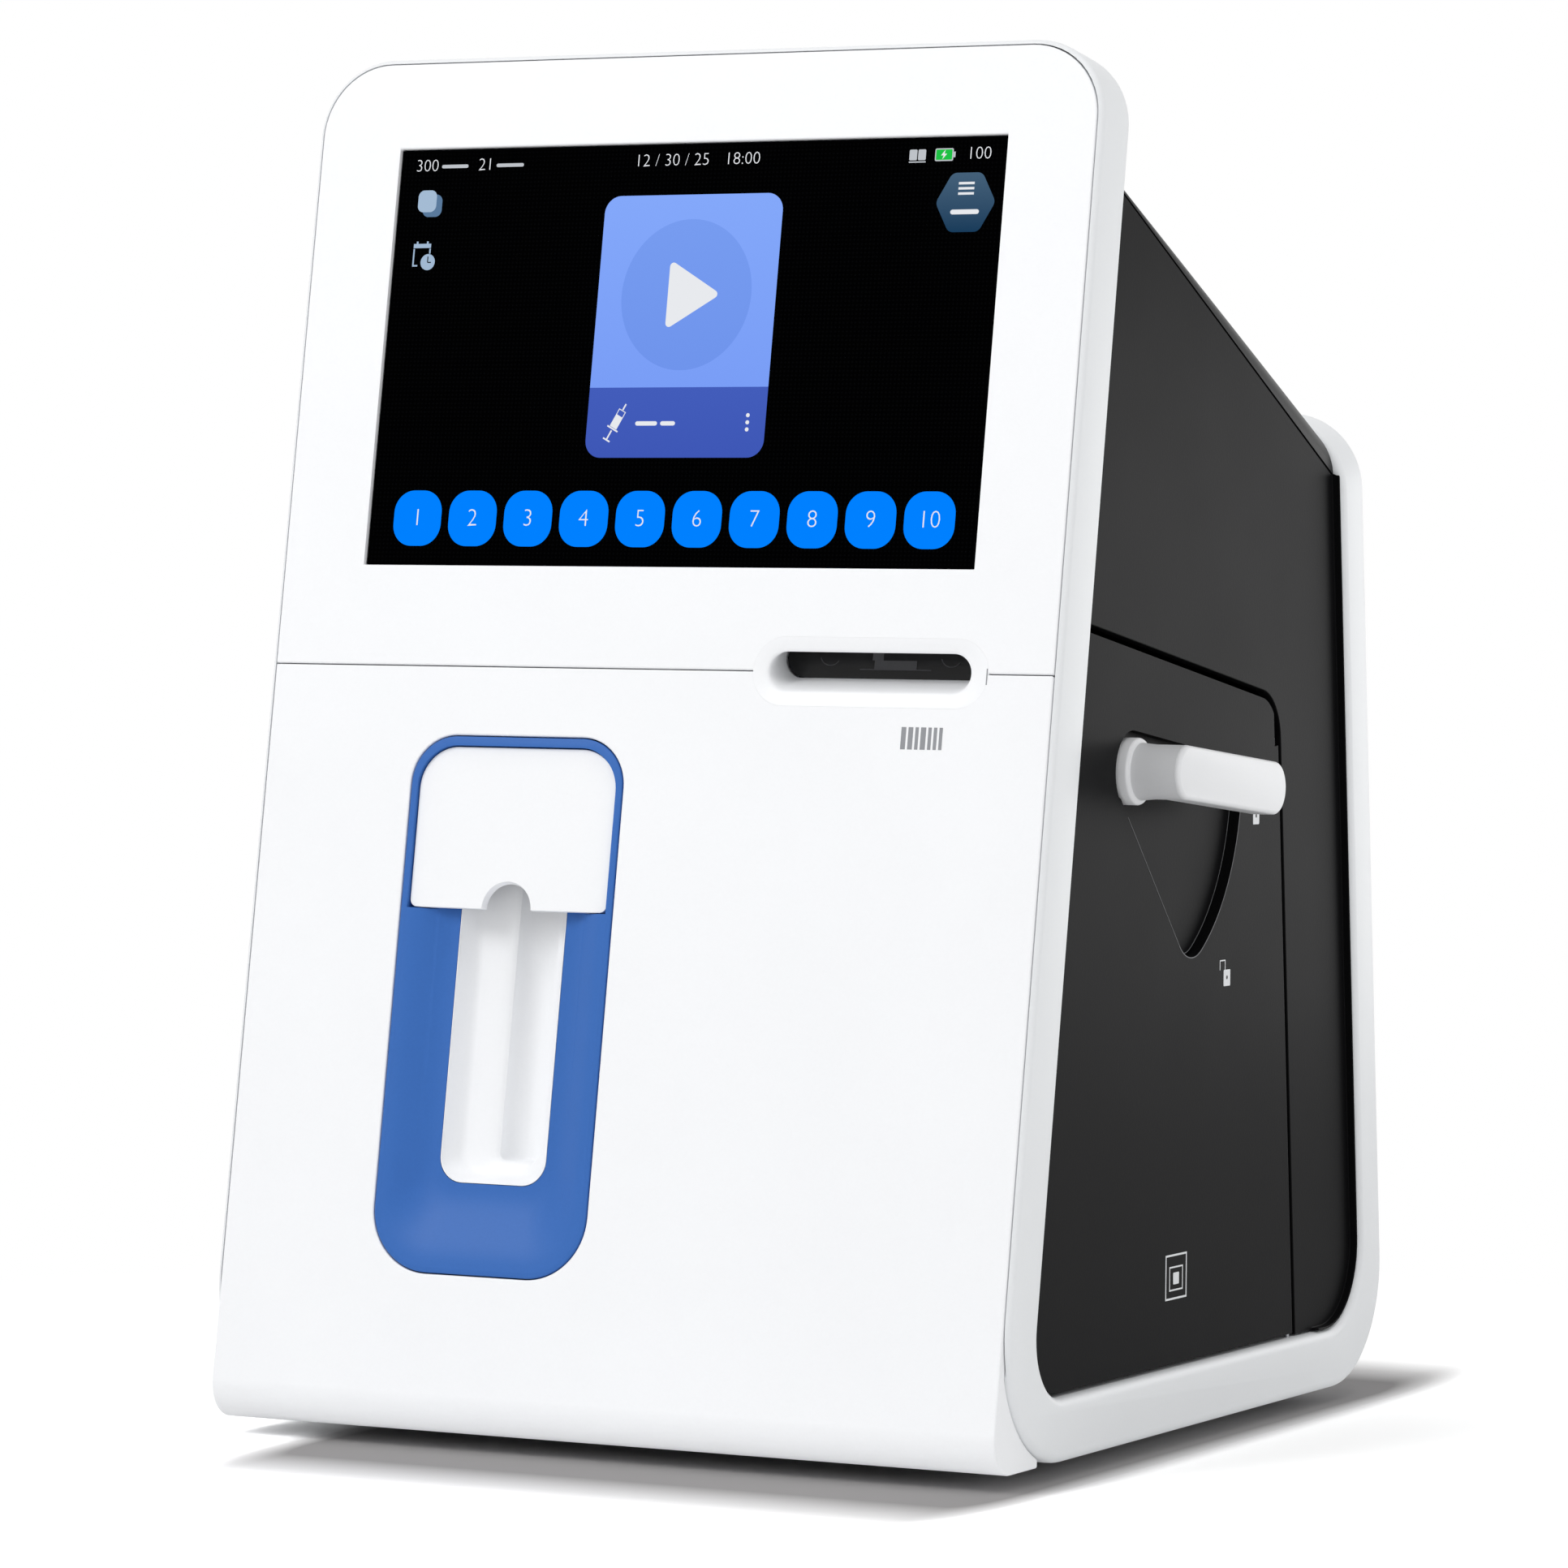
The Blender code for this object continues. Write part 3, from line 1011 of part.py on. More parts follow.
def cartridge_door(body, rear) -> None:
    """Door leaf with a knuckle on its hinge line and a pocket for the lever."""
    outer = cover_half_width()
    inner = outer - SIDE_WALL
    low, high = hinge_span()
    axis = (hinge_x(), *rear_point(HINGE_INSET, low))
    door = piece("cartridge_door", body, "dark_plastic",
                 prism(rounded(door_corners(0, DOOR_SILL_GAP),
                               [INNER_FRONT_RADIUS, 0, DOOR_TOP_RADIUS, DOOR_FRONT_RADIUS]),
                       inner, outer, "X"), pivot=axis)
    join(door, rear, hinge_bore(low, high, HINGE_RADIUS))
    half_width = LEVER_RADIUS + SWEEP_MARGIN
    reach = LEVER_LENGTH + LEVER_RADIUS + SWEEP_END_MARGIN
    floor = outer - SWEEP_DEPTH
    pocket = floor - TRACK_DEPTH - POCKET_WALL
    join(door, body, prism(lever_sweep(half_width + POCKET_RIM, reach + POCKET_RIM),
                           pocket, outer - SIDE_WALL / 2, "X"))
    cut(door, body, prism(lever_sweep(half_width, reach), floor, outer + OVERRUN, "X"))
    cut(door, body, prism(lever_track(half_width, reach), floor - TRACK_DEPTH, outer, "X"))
    cut(door, body, rod(LEVER_Y, LEVER_Z, FLANGE_RADIUS + GAP, floor, outer + OVERRUN, "X"))
    cut(door, body, rod(LEVER_Y, LEVER_Z, SHAFT_RADIUS + GAP, pocket - OVERRUN, outer, "X"))
    cut(door, rear, prism(box((inner - OVERRUN, -HINGE_INSET - SIDE_WALL / 2 - COVER_GAP),
                              (outer + OVERRUN, -HINGE_INSET + OVERRUN)),
                          high, high + 2 * DOOR_TOP_RADIUS, "Z"))
    reach = DOOR_PIN_LENGTH / 2 + GAP
    cut(door, rear, hinge_bore(low - OVERRUN, low + reach))
    cut(door, rear, hinge_bore(high - reach, high + OVERRUN))
    middle = low - DOOR_SILL_GAP / 2
    piece("door_pin_lower", rear, "steel",
          hinge_bore(middle - DOOR_PIN_LENGTH / 2, middle + DOOR_PIN_LENGTH / 2, DOOR_PIN_RADIUS))
    middle = high
    piece("door_pin_upper", rear, "steel",
          hinge_bore(middle - DOOR_PIN_LENGTH / 2 + GAP,
                     middle + DOOR_PIN_LENGTH / 2 - COVER_GAP - GAP, DOOR_PIN_RADIUS))


def lock_lever(body) -> None:
    """Lever with its hub, the shaft through the door and the cam behind it."""
    outer = cover_half_width()
    floor = outer - SWEEP_DEPTH
    pivot = (floor, LEVER_Y, LEVER_Z)
    rest = -LEVER_REST
    quarter = math.pi / 2
    tip = tuple(Vector((LEVER_Y, LEVER_Z)) + LEVER_LENGTH * Vector(lever_direction(rest)))
    levels = []
    for step in range(EDGE_STEPS, -1, -1):
        angle = quarter * step / EDGE_STEPS
        levels.append((LEVER_OUT - LEVER_EDGE * (1 - math.cos(angle)),
                       LEVER_RADIUS - LEVER_EDGE * (1 - math.sin(angle))))
    levels = [(LEVER_OUT - LEVER_ARM_THICKNESS, LEVER_RADIUS)] + levels
    arm = [[spot("X", a, b, level) for a, b in
            arc(tip, radius, rest - quarter, rest + quarter)
            + arc(pivot[1:], radius, rest + quarter, rest + 3 * quarter)]
           for level, radius in levels]
    lever = piece("lock_lever", body, "lever_plastic", arm, pivot=pivot)
    base = floor + GAP
    join(lever, body, rod(LEVER_Y, LEVER_Z, FLANGE_RADIUS, base, base + FLANGE_THICKNESS, "X"))
    join(lever, body, rod(LEVER_Y, LEVER_Z, NECK_RADIUS, base + FLANGE_THICKNESS / 2,
                          LEVER_OUT - LEVER_ARM_THICKNESS / 2, "X"))
    cut(lever, body, rod(LEVER_Y, LEVER_Z, SHAFT_RADIUS + GAP, 0, base + SHAFT_ANCHOR + GAP, "X"))
    pocket = floor - TRACK_DEPTH - POCKET_WALL
    cam_outer = pocket - GAP
    cam_inner = cam_outer - CAM_THICKNESS
    piece("lever_shaft", body, "steel",
          rod(LEVER_Y, LEVER_Z, SHAFT_RADIUS, cam_inner - GAP, base + SHAFT_ANCHOR, "X"),
          pivot=pivot)
    back = rest + math.pi
    end = tuple(Vector((LEVER_Y, LEVER_Z)) + CAM_REACH * Vector(lever_direction(back)))
    cam = piece("latch_cam", body, "steel",
                prism(arc(end, CAM_RADIUS / 2, back - quarter, back + quarter)
                      + arc(pivot[1:], CAM_RADIUS, back + quarter, back + 3 * quarter),
                      cam_inner, cam_outer, "X"), pivot=pivot)
    cut(cam, body, rod(LEVER_Y, LEVER_Z, SHAFT_RADIUS + GAP, 0, outer, "X"))


# Inside of the unit

def base_top() -> float:
    """Top of the steel base plate."""
    return FRAME_FLOOR + GAP + BASE_SHEET


def plates(body) -> None:
    """Base plate, partition and chassis plate with standoffs."""
    side = HALF_WIDTH - SOLE_WALL - BASE_MARGIN
    front = tray_span()[0] + BASE_MARGIN
    back = tray_span()[1] - BASE_MARGIN
    base = piece("base_plate", body, "steel",
                 block((-side, front, FRAME_FLOOR + GAP), (side, back, base_top())))
    cut(base, body, *[rod(x, y, FOOT_STUD_RADIUS + 2 * GAP, 0, base_top() + OVERRUN, "Z", PIN_SIDES)
                      for x, y in foot_places()])
    low = base_top() + GAP
    half = PLATE_SHEET / 2
    partition = piece("partition_plate", body, "steel",
                      block((PARTITION_X - half, PLATE_FRONT, low),
                            (PARTITION_X + half, PLATE_REAR, PARTITION_HEIGHT)))
    cut(partition, body, rod(PUMP_Y, PUMP_Z, PUMP_SHAFT_RADIUS + 2 * GAP,
                             PARTITION_X - PLATE_SHEET, PARTITION_X + PLATE_SHEET, "X", PIN_SIDES))
    chassis = piece("chassis_plate", body, "steel",
                    block((CHASSIS_X - half, PLATE_FRONT, low),
                          (CHASSIS_X + half, PLATE_REAR, CHASSIS_HEIGHT)))
    for y, z in standoff_places():
        join(chassis, body, rod(y, z, STANDOFF_RADIUS, CHASSIS_X - half - STANDOFF_HEIGHT,
                                CHASSIS_X, "X", PIN_SIDES))


def standoff_places() -> list:
    """Side-view places of the posts that hold the main board."""
    low = BOARD_LOW + STANDOFF_INSET
    high = CHASSIS_HEIGHT - STANDOFF_INSET
    return [(y, z) for y in (PLATE_FRONT + STANDOFF_INSET, PLATE_REAR - STANDOFF_INSET)
            for z in (low, high)]


def cartridge_left() -> float:
    """Inner end of the cartridge, beside the warm sensor block."""
    return PARTITION_X + PLATE_SHEET / 2 + BLOCK_THICKNESS + 2 * GAP


def cartridge_bay(body) -> None:
    """Sliding cartridge, the cradle that it runs in and the sensor block."""
    left = cartridge_left()
    shelf = CRADLE_SHELF + CRADLE_WALL
    back = CARTRIDGE_FRONT + CARTRIDGE_DEPTH
    low = shelf + GAP
    high = low + CARTRIDGE_HEIGHT
    right = left + CARTRIDGE_WIDTH
    corners = box((CARTRIDGE_FRONT, low), (back, high))
    cartridge = piece("cartridge", body, "white_plastic",
                      soft_prism(corners, [CARTRIDGE_EDGE] * 4, left, right, "X", 0,
                                 CARTRIDGE_EDGE / 2), pivot=(left, CARTRIDGE_FRONT, low))
    middle = CARTRIDGE_FRONT + CARTRIDGE_DEPTH / 2
    grip = high - CARTRIDGE_GRIP_DROP
    cut(cartridge, body, prism(stadium((middle, grip), CARTRIDGE_GRIP_WIDTH, CARTRIDGE_GRIP_HEIGHT),
                               right - CARTRIDGE_GRIP_DEPTH, right + OVERRUN, "X"))
    start = left - BLOCK_THICKNESS / 2
    foot = base_top() + GAP
    near = CARTRIDGE_FRONT - GAP
    far = back + GAP
    profile = [(near - CRADLE_WALL, foot), (near, foot), (near, CRADLE_SHELF), (far, CRADLE_SHELF),
               (far, foot), (far + CRADLE_WALL, foot), (far + CRADLE_WALL, shelf + CRADLE_RISE),
               (far, shelf + CRADLE_RISE), (far, shelf), (near, shelf), (near, shelf + CRADLE_RISE),
               (near - CRADLE_WALL, shelf + CRADLE_RISE)]
    piece("cartridge_cradle", body, "dark_plastic",
          prism(profile, start, start + CRADLE_LENGTH, "X"))
    wall = PARTITION_X + PLATE_SHEET / 2 + GAP
    block_low = shelf + CRADLE_RISE + GAP
    piece("sensor_block", body, "steel",
          block((wall, CARTRIDGE_FRONT + BLOCK_INSET, block_low),
                (wall + BLOCK_THICKNESS, back - BLOCK_INSET, block_low + BLOCK_HEIGHT)))


def hose_pump(body) -> None:
    """Pump motor, its lobed rotor and the head round the rotor."""
    wall = PLATE_SHEET / 2 + GAP
    motor = piece("pump_motor", body, "dark_plastic",
                  rod(PUMP_Y, PUMP_Z, PUMP_MOTOR_RADIUS, PARTITION_X - wall - PUMP_MOTOR_LENGTH,
                      PARTITION_X - wall, "X"))
    face = PARTITION_X + wall
    join(motor, body, rod(PUMP_Y, PUMP_Z, PUMP_SHAFT_RADIUS, PARTITION_X - wall - OVERRUN,
                          face + PUMP_SHAFT_LENGTH, "X", PIN_SIDES))
    points = []
    for step in range(2 * SIDES):
        angle = math.pi * step / SIDES
        radius = ROTOR_RADIUS + ROTOR_LOBE * math.cos(4 * angle)
        points.append((PUMP_Y + radius * math.cos(angle), PUMP_Z + radius * math.sin(angle)))
    rotor_low = face + GAP
    rotor = piece("pump_rotor", body, "lever_plastic",
                  prism(points, rotor_low, rotor_low + ROTOR_WIDTH, "X"),
                  pivot=(rotor_low, PUMP_Y, PUMP_Z))
    cut(rotor, body, rod(PUMP_Y, PUMP_Z, PUMP_SHAFT_RADIUS + GAP, PARTITION_X,
                         rotor_low + ROTOR_WIDTH + OVERRUN, "X", PIN_SIDES))
    bore = ROTOR_RADIUS + ROTOR_LOBE + PUMP_HEAD_GAP
    head = piece("pump_head", body, "white_plastic",
                 rod(PUMP_Y, PUMP_Z, bore + PUMP_HEAD_WALL, face, face + ROTOR_WIDTH, "X"))
    cut(head, body, rod(PUMP_Y, PUMP_Z, bore, PARTITION_X, face + ROTOR_WIDTH + OVERRUN, "X"))


def electronics(body) -> None:
    """Main board on the chassis plate, battery pack and power supply on the base."""
    outer = CHASSIS_X - PLATE_SHEET / 2 - STANDOFF_HEIGHT - GAP
    front = PLATE_FRONT + BOARD_MARGIN
    back = PLATE_REAR - BOARD_MARGIN
    board = piece("mainboard", body, "circuit_board",
                  block((outer - BOARD_THICKNESS, front, BOARD_LOW),
                        (outer, back, CHASSIS_HEIGHT - BOARD_MARGIN)))
    face = outer - BOARD_THICKNESS
    chips = []
    for column in range(CHIP_COLUMNS):
        for row in range(CHIP_ROWS):
            y = front + CHIP_SIZE / 2 + column * (CHIP_SIZE + CHIP_GAP_ACROSS)
            z = BOARD_LOW + CHIP_SIZE / 2 + row * (CHIP_SIZE + CHIP_GAP_UP)
            chips.append(block((face - CHIP_HEIGHT, y, z),
                               (outer - BOARD_THICKNESS / 2, y + CHIP_SIZE, z + CHIP_SIZE)))
    for chip in chips:
        join(board, body, chip)
    low = base_top() + GAP
    left = CHASSIS_X + PLATE_SHEET / 2 + GAP
    piece("battery_pack", body, "dark_plastic",
          block((left, PLATE_FRONT, low),
                (left + BATTERY_WIDTH, PLATE_FRONT + BATTERY_DEPTH, low + BATTERY_HEIGHT),
                CASE_EDGE))
    start = PLATE_FRONT + BATTERY_DEPTH + CASE_EDGE
    piece("power_supply", body, "steel",
          block((left, start, low), (left + BATTERY_WIDTH, start + SUPPLY_DEPTH,
                                     low + SUPPLY_HEIGHT), CASE_EDGE))


# Back of the unit

def screw_places() -> list:
    """Places of the rear panel's screws on the back, over the frame's ledge."""
    side = HALF_WIDTH - REAR_RIM - SCREW_INSET
    low = REAR_PANEL_LOW + REAR_LEDGE + SCREW_HEAD_RADIUS
    high = REAR_HEIGHT - REAR_PANEL_TOP_MARGIN - REAR_TOP_RADIUS - SCREW_HEAD_RADIUS
    return [(x, z) for x in (-side, side) for z in (low, high)]


def port_cuts() -> list:
    """Centre, width and height of each socket in the rear panel."""
    return [(POWER_X, POWER_WIDTH, POWER_HEIGHT), (SWITCH_X, SWITCH_WIDTH, SWITCH_HEIGHT),
            (NETWORK_X, NETWORK_WIDTH, NETWORK_HEIGHT), (USB_X, USB_WIDTH, USB_HEIGHT),
            (USB_X - USB_PITCH, USB_WIDTH, USB_HEIGHT)]


def rear_panel(rear) -> None:
    """Panel with its fan grille, socket openings and screws."""
    face = -GAP
    inner = face - REAR_PANEL_THICKNESS
    pocket = HALF_WIDTH - REAR_RIM - GAP
    top = REAR_HEIGHT - REAR_PANEL_TOP_MARGIN - GAP
    foot = REAR_FOOT_RADIUS
    panel = piece("rear_panel", rear, "dark_plastic",
                  prism(rounded(box((-pocket, REAR_PANEL_LOW + GAP), (pocket, top)),
                                [foot, foot, REAR_TOP_RADIUS, REAR_TOP_RADIUS]),
                        inner, face, "Y"))
    slots = []
    count = 9
    for index in range(count):
        across = (index - (count - 1) / 2) * GRILLE_PITCH
        half = math.sqrt(max(FAN_BORE ** 2 - across ** 2, GRILLE_SLOT ** 2))
        middle = FAN_X + across
        slots.append(prism(box((middle - GRILLE_SLOT / 2, FAN_HEIGHT - half),
                               (middle + GRILLE_SLOT / 2, FAN_HEIGHT + half)),
                           inner - OVERRUN, face + OVERRUN, "Y"))
    cut(panel, rear, *slots)
    cut(panel, rear, *[prism(box((x - width / 2 - GAP, SOCKET_ROW - height / 2 - GAP),
                                 (x + width / 2 + GAP, SOCKET_ROW + height / 2 + GAP)),
                             inner - OVERRUN, face + OVERRUN, "Y")
                       for x, width, height in port_cuts()])
    cut(panel, rear, *[rod(x, z, SCREW_SHANK_RADIUS + GAP, inner - OVERRUN, face + OVERRUN, "Y",
                           PIN_SIDES) for x, z in screw_places()])
    seat = face + GAP
    for number, (x, z) in enumerate(screw_places(), 1):
        screw = piece(f"panel_screw_{number}", rear, "steel",
                      rod(x, z, SCREW_HEAD_RADIUS, seat, seat + SCREW_HEAD_HEIGHT, "Y"))
        join(screw, rear, rod(x, z, SCREW_SHANK_RADIUS, seat - SCREW_LENGTH,
                              seat + SCREW_HEAD_HEIGHT / 2, "Y", PIN_SIDES))


def socket(name: str, rear, colour: str, centre: float, size: tuple, depth: float,
           wall: float) -> bpy.types.Object:
    """Socket body in the rear panel, with a lip outside and its mouth to the back."""
    width, height = size
    low = SOCKET_ROW - height / 2
    left = centre - width / 2
    made = piece(name, rear, colour,
                 prism(box((left, low), (left + width, low + height)), -depth, LIP_THICKNESS / 2,
                       "Y"))
    lip = FLANGE_LIP
    join(made, rear, prism(rounded(box((left - lip, low - lip),
                                       (left + width + lip, low + height + lip)), [lip] * 4, 3),
                           0, LIP_THICKNESS, "Y"))
    cut(made, rear, prism(box((left + wall, low + wall), (left + width - wall, low + height - wall)),
                          -depth + wall, LIP_THICKNESS + OVERRUN, "Y"))
    return made


def sockets(rear) -> None:
    """Power inlet, rocker switch, network and data sockets."""
    socket("power_inlet", rear, "dark_plastic", POWER_X, (POWER_WIDTH, POWER_HEIGHT), POWER_DEPTH,
           POWER_WALL)
    socket("switch_housing", rear, "dark_plastic", SWITCH_X, (SWITCH_WIDTH, SWITCH_HEIGHT),
           SWITCH_DEPTH, SWITCH_WALL)
    socket("network_port", rear, "steel", NETWORK_X, (NETWORK_WIDTH, NETWORK_HEIGHT), PORT_DEPTH,
           PORT_WALL)
    for index in range(2):
        socket(f"usb_port_{index + 1}", rear, "steel", USB_X - index * USB_PITCH,
               (USB_WIDTH, USB_HEIGHT), PORT_DEPTH, PORT_WALL)
    half_x = SWITCH_WIDTH / 2 - SWITCH_WALL - GAP
    half_z = SWITCH_HEIGHT / 2 - SWITCH_WALL - ROCKER_CLEARANCE
    pivot = (SWITCH_X, -ROCKER_DEPTH / 2, SOCKET_ROW)
    rocker = piece("switch_rocker", rear, "dark_plastic",
                   block((SWITCH_X - half_x, -ROCKER_DEPTH, SOCKET_ROW - half_z),
                         (SWITCH_X + half_x, ROCKER_RISE, SOCKET_ROW + half_z)), pivot=pivot)
    rocker.rotation_euler = (-ROCKER_TILT, 0, 0)


def fan(rear) -> None:
    """Square fan frame with struts and an axle, and the bladed rotor on it."""
    near = -REAR_PANEL_THICKNESS - 2 * GAP
    far = near - FAN_DEPTH
    half = FAN_SIZE / 2
    frame = piece("fan_frame", rear, "dark_plastic",
                  prism(rounded(box((FAN_X - half, FAN_HEIGHT - half),
                                    (FAN_X + half, FAN_HEIGHT + half)), [FAN_CORNER] * 4, 3),
                        far, near, "Y"))
    cut(frame, rear, rod(FAN_X, FAN_HEIGHT, FAN_BORE, far - OVERRUN, near + OVERRUN, "Y"))
    wide = FAN_BORE + OVERRUN
    bar = FAN_STRUT / 2
    join(frame, rear, prism(box((FAN_X - wide, FAN_HEIGHT - bar), (FAN_X + wide, FAN_HEIGHT + bar)),
                            far, far + FAN_STRUT, "Y"))
    join(frame, rear, rod(FAN_X, FAN_HEIGHT, FAN_HUB, far, far + FAN_STRUT, "Y"))
    join(frame, rear, rod(FAN_X, FAN_HEIGHT, FAN_AXLE, far + FAN_STRUT / 2, near - FAN_STRUT / 2,
                          "Y", PIN_SIDES))
    back = far + FAN_STRUT + GAP
    front = near - GAP
    rotor = piece("fan_rotor", rear, "dark_plastic",
                  rod(FAN_X, FAN_HEIGHT, FAN_HUB, back, front, "Y"),
                  pivot=(FAN_X, back, FAN_HEIGHT))
    reach = FAN_BORE - FAN_TIP_GAP
    blades = 7
    for index in range(blades):
        angle = 2 * math.pi * index / blades
        twist = math.pi / blades
        root = FAN_HUB * FAN_ROOT_SHARE
        loops = []
        for level, lead in ((back + GAP, 0.0), (front - GAP, twist)):
            line = angle + lead
            ray = Vector((math.cos(line), math.sin(line)))
            side = Vector((-math.sin(line), math.cos(line))) * (FAN_BLADE / 2)
            middle = Vector((FAN_X, FAN_HEIGHT))
            corners = [middle + ray * root - side, middle + ray * reach - side,
                       middle + ray * reach + side, middle + ray * root + side]
            loops.append([spot("Y", corner.x, corner.y, level) for corner in corners])
        join(rotor, rear, loops)
    cut(rotor, rear, rod(FAN_X, FAN_HEIGHT, FAN_AXLE + GAP, back - OVERRUN,
                         near - FAN_STRUT / 2 + GAP, "Y", PIN_SIDES))


def foot_places() -> list:
    """Centres of the feet."""
    return [(x, y) for x in (-FOOT_X, FOOT_X) for y in (FOOT_FRONT_Y, FOOT_REAR_Y)]


def feet(body) -> None:
    """Rubber feet whose studs reach through the sole."""
    for (x, y), name in zip(foot_places(), ("left_front", "left_rear", "right_front",
                                            "right_rear")):
        foot = piece(f"foot_{name}", body, "rubber",
                     rod(x, y, FOOT_RADIUS, -FOOT_HEIGHT, -GAP, "Z"))
        join(foot, body, rod(x, y, FOOT_STUD_RADIUS, -FOOT_HEIGHT / 2, FRAME_FLOOR, "Z", PIN_SIDES))


def body_middle() -> tuple:
    """Middle of the whole object from above."""
    chin = CHIN_RADIUS / math.tan((math.pi / 2 - FRONT_LEAN) / 2) - CHIN_RADIUS
    heel = REAR_BOTTOM_RADIUS / math.tan((math.pi / 2 - REAR_LEAN) / 2) - REAR_BOTTOM_RADIUS
    return ((LEVER_OUT - HALF_WIDTH) / 2, (chin + BODY_DEPTH - heel) / 2)


def main() -> None:
    """Clear the scene and build every piece."""
    for old in list(bpy.context.scene.objects):
        bpy.data.objects.remove(old, do_unlink=True)
    middle_x, middle_y = body_middle()
    body = empty("body", None, (-middle_x, -middle_y, FOOT_HEIGHT))
    front = empty("front_face", body, turn=-FRONT_LEAN)
    rear = empty("rear_face", body, (0, BODY_DEPTH, 0), REAR_LEAN)
    outer_frame(body, front, rear)
    front_panels(body, front)
    display(front)
    scanner(front)
    sample_inlet(front)
    probe_drive(front)
    top_cover(body)
    side_covers(body, rear)
    cartridge_door(body, rear)
    lock_lever(body)
    plates(body)
    cartridge_bay(body)
    hose_pump(body)
    electronics(body)
    rear_panel(rear)
    sockets(rear)
    fan(rear)
    feet(body)


main()
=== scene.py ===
"""Looks of the blood gas analyzer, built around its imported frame.

Every place is given in one of three frames of the object: the body's own, upright
one, the leaning front face's and the leaning back's. Lengths are in metres.
"""

import json
import logging
import math
from dataclasses import dataclass, field
from enum import Enum

import bmesh
import bpy
import numpy as np
from mathutils import Matrix


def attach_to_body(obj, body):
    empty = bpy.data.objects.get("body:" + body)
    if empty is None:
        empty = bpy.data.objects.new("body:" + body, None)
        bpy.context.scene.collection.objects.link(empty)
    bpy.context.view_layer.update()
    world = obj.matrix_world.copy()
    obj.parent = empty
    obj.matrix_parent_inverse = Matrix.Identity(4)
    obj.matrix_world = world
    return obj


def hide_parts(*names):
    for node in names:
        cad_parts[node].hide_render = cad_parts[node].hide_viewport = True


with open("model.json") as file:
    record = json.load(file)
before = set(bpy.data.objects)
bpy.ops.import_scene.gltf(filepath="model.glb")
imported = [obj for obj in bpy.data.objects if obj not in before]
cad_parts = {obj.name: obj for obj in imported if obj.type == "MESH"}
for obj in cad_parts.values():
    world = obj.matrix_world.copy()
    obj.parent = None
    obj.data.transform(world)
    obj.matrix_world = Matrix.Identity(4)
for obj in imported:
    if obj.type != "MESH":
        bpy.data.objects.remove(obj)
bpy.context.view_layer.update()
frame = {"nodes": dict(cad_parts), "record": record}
LOG = logging.getLogger("analyzer")

# Sizes that several pieces share; a cutter reaches OVER past what it cuts
FRONT_LEAN = math.radians(9.11)
REAR_LEAN = math.radians(5.12)
BODY_DEPTH = 0.2456
GAP = 0.0003
HALF_WIDTH = 0.11145
PANEL_HALF = 0.10985
SOLE = 0.0157
FRONT_BAND = 0.0176
REAR_BAND = 0.0147
SEAM_GAP = 0.0005
PANEL_SEAM = 0.1941
COVER_HALF = HALF_WIDTH - 0.0029
COVER_WALL = 0.0032
SHAFT_BORE = 0.0033
OVER = 0.002
PRINT_BACK = -0.00001
PRINT_FRONT = -0.00004
QUARTER = math.pi / 2


class Face(Enum):
    """Frames that places are given in."""

    BODY = "body"
    FRONT = "front"
    REAR = "rear"


class Axis(Enum):
    """Direction that an outline is drawn out along."""

    X = 0
    Y = 1
    Z = 2


@dataclass(frozen=True)
class Origin:
    """Place of the body's own origin in the frame's world."""

    lever_out: float = 0.1241
    foot_height: float = 0.0040
    front_most: float = 0.00159
    rear_most: float = 0.242701

    def offset(self) -> np.ndarray:
        """Shift from the body's own frame to the world."""
        return np.array([(HALF_WIDTH - self.lever_out) / 2,
                         -(self.front_most + self.rear_most) / 2, self.foot_height])


def to_world(points: np.ndarray, face: Face) -> np.ndarray:
    """Turn points of a face's frame into world places.

    Args:
        points: places as (across, depth or back, up), any leading shape.
        face: the frame that they are given in.
    Returns:
        The same places in world coordinates.
    """
    x, y, z = points[..., 0], points[..., 1], points[..., 2]
    if face is Face.FRONT:
        cos, sin = math.cos(FRONT_LEAN), math.sin(FRONT_LEAN)
        y, z = y * cos + z * sin, z * cos - y * sin
    elif face is Face.REAR:
        cos, sin = math.cos(REAR_LEAN), math.sin(REAR_LEAN)
        y, z = BODY_DEPTH + y * cos - z * sin, z * cos + y * sin
    return np.stack([x, y, z], axis=-1) + Origin().offset()


def front_y(depth: float, height: float) -> float:
    """Y of the plane a depth behind the front face, at a height."""
    return height * math.tan(FRONT_LEAN) + depth / math.cos(FRONT_LEAN)


def rear_y(depth: float, height: float) -> float:
    """Y of the plane a depth in front of the back, at a height."""
    return BODY_DEPTH - height * math.tan(REAR_LEAN) - depth / math.cos(REAR_LEAN)


def front_point(depth: float, up: float) -> tuple:
    """Side-view point from a depth behind the front face and a way up along it."""
    return (up * math.sin(FRONT_LEAN) + depth * math.cos(FRONT_LEAN),
            up * math.cos(FRONT_LEAN) - depth * math.sin(FRONT_LEAN))


def rear_point(depth: float, up: float) -> tuple:
    """Side-view point from a depth in front of the back and a way up along it."""
    return (BODY_DEPTH - up * math.sin(REAR_LEAN) - depth * math.cos(REAR_LEAN),
            up * math.cos(REAR_LEAN) - depth * math.sin(REAR_LEAN))


def level_at_rear(up: float, depth: float) -> tuple:
    """Where a line square to the front face meets a plane in front of the back."""
    start = BODY_DEPTH - depth / math.cos(REAR_LEAN)
    height = ((up - start * math.sin(FRONT_LEAN))
              / (math.cos(FRONT_LEAN) - math.tan(REAR_LEAN) * math.sin(FRONT_LEAN)))
    return (start - height * math.tan(REAR_LEAN), height)


def between(pair: tuple, share: float) -> float:
    """Value at a share of the way from the first of a pair to the second."""
    return pair[0] + (pair[1] - pair[0]) * share


# Outlines

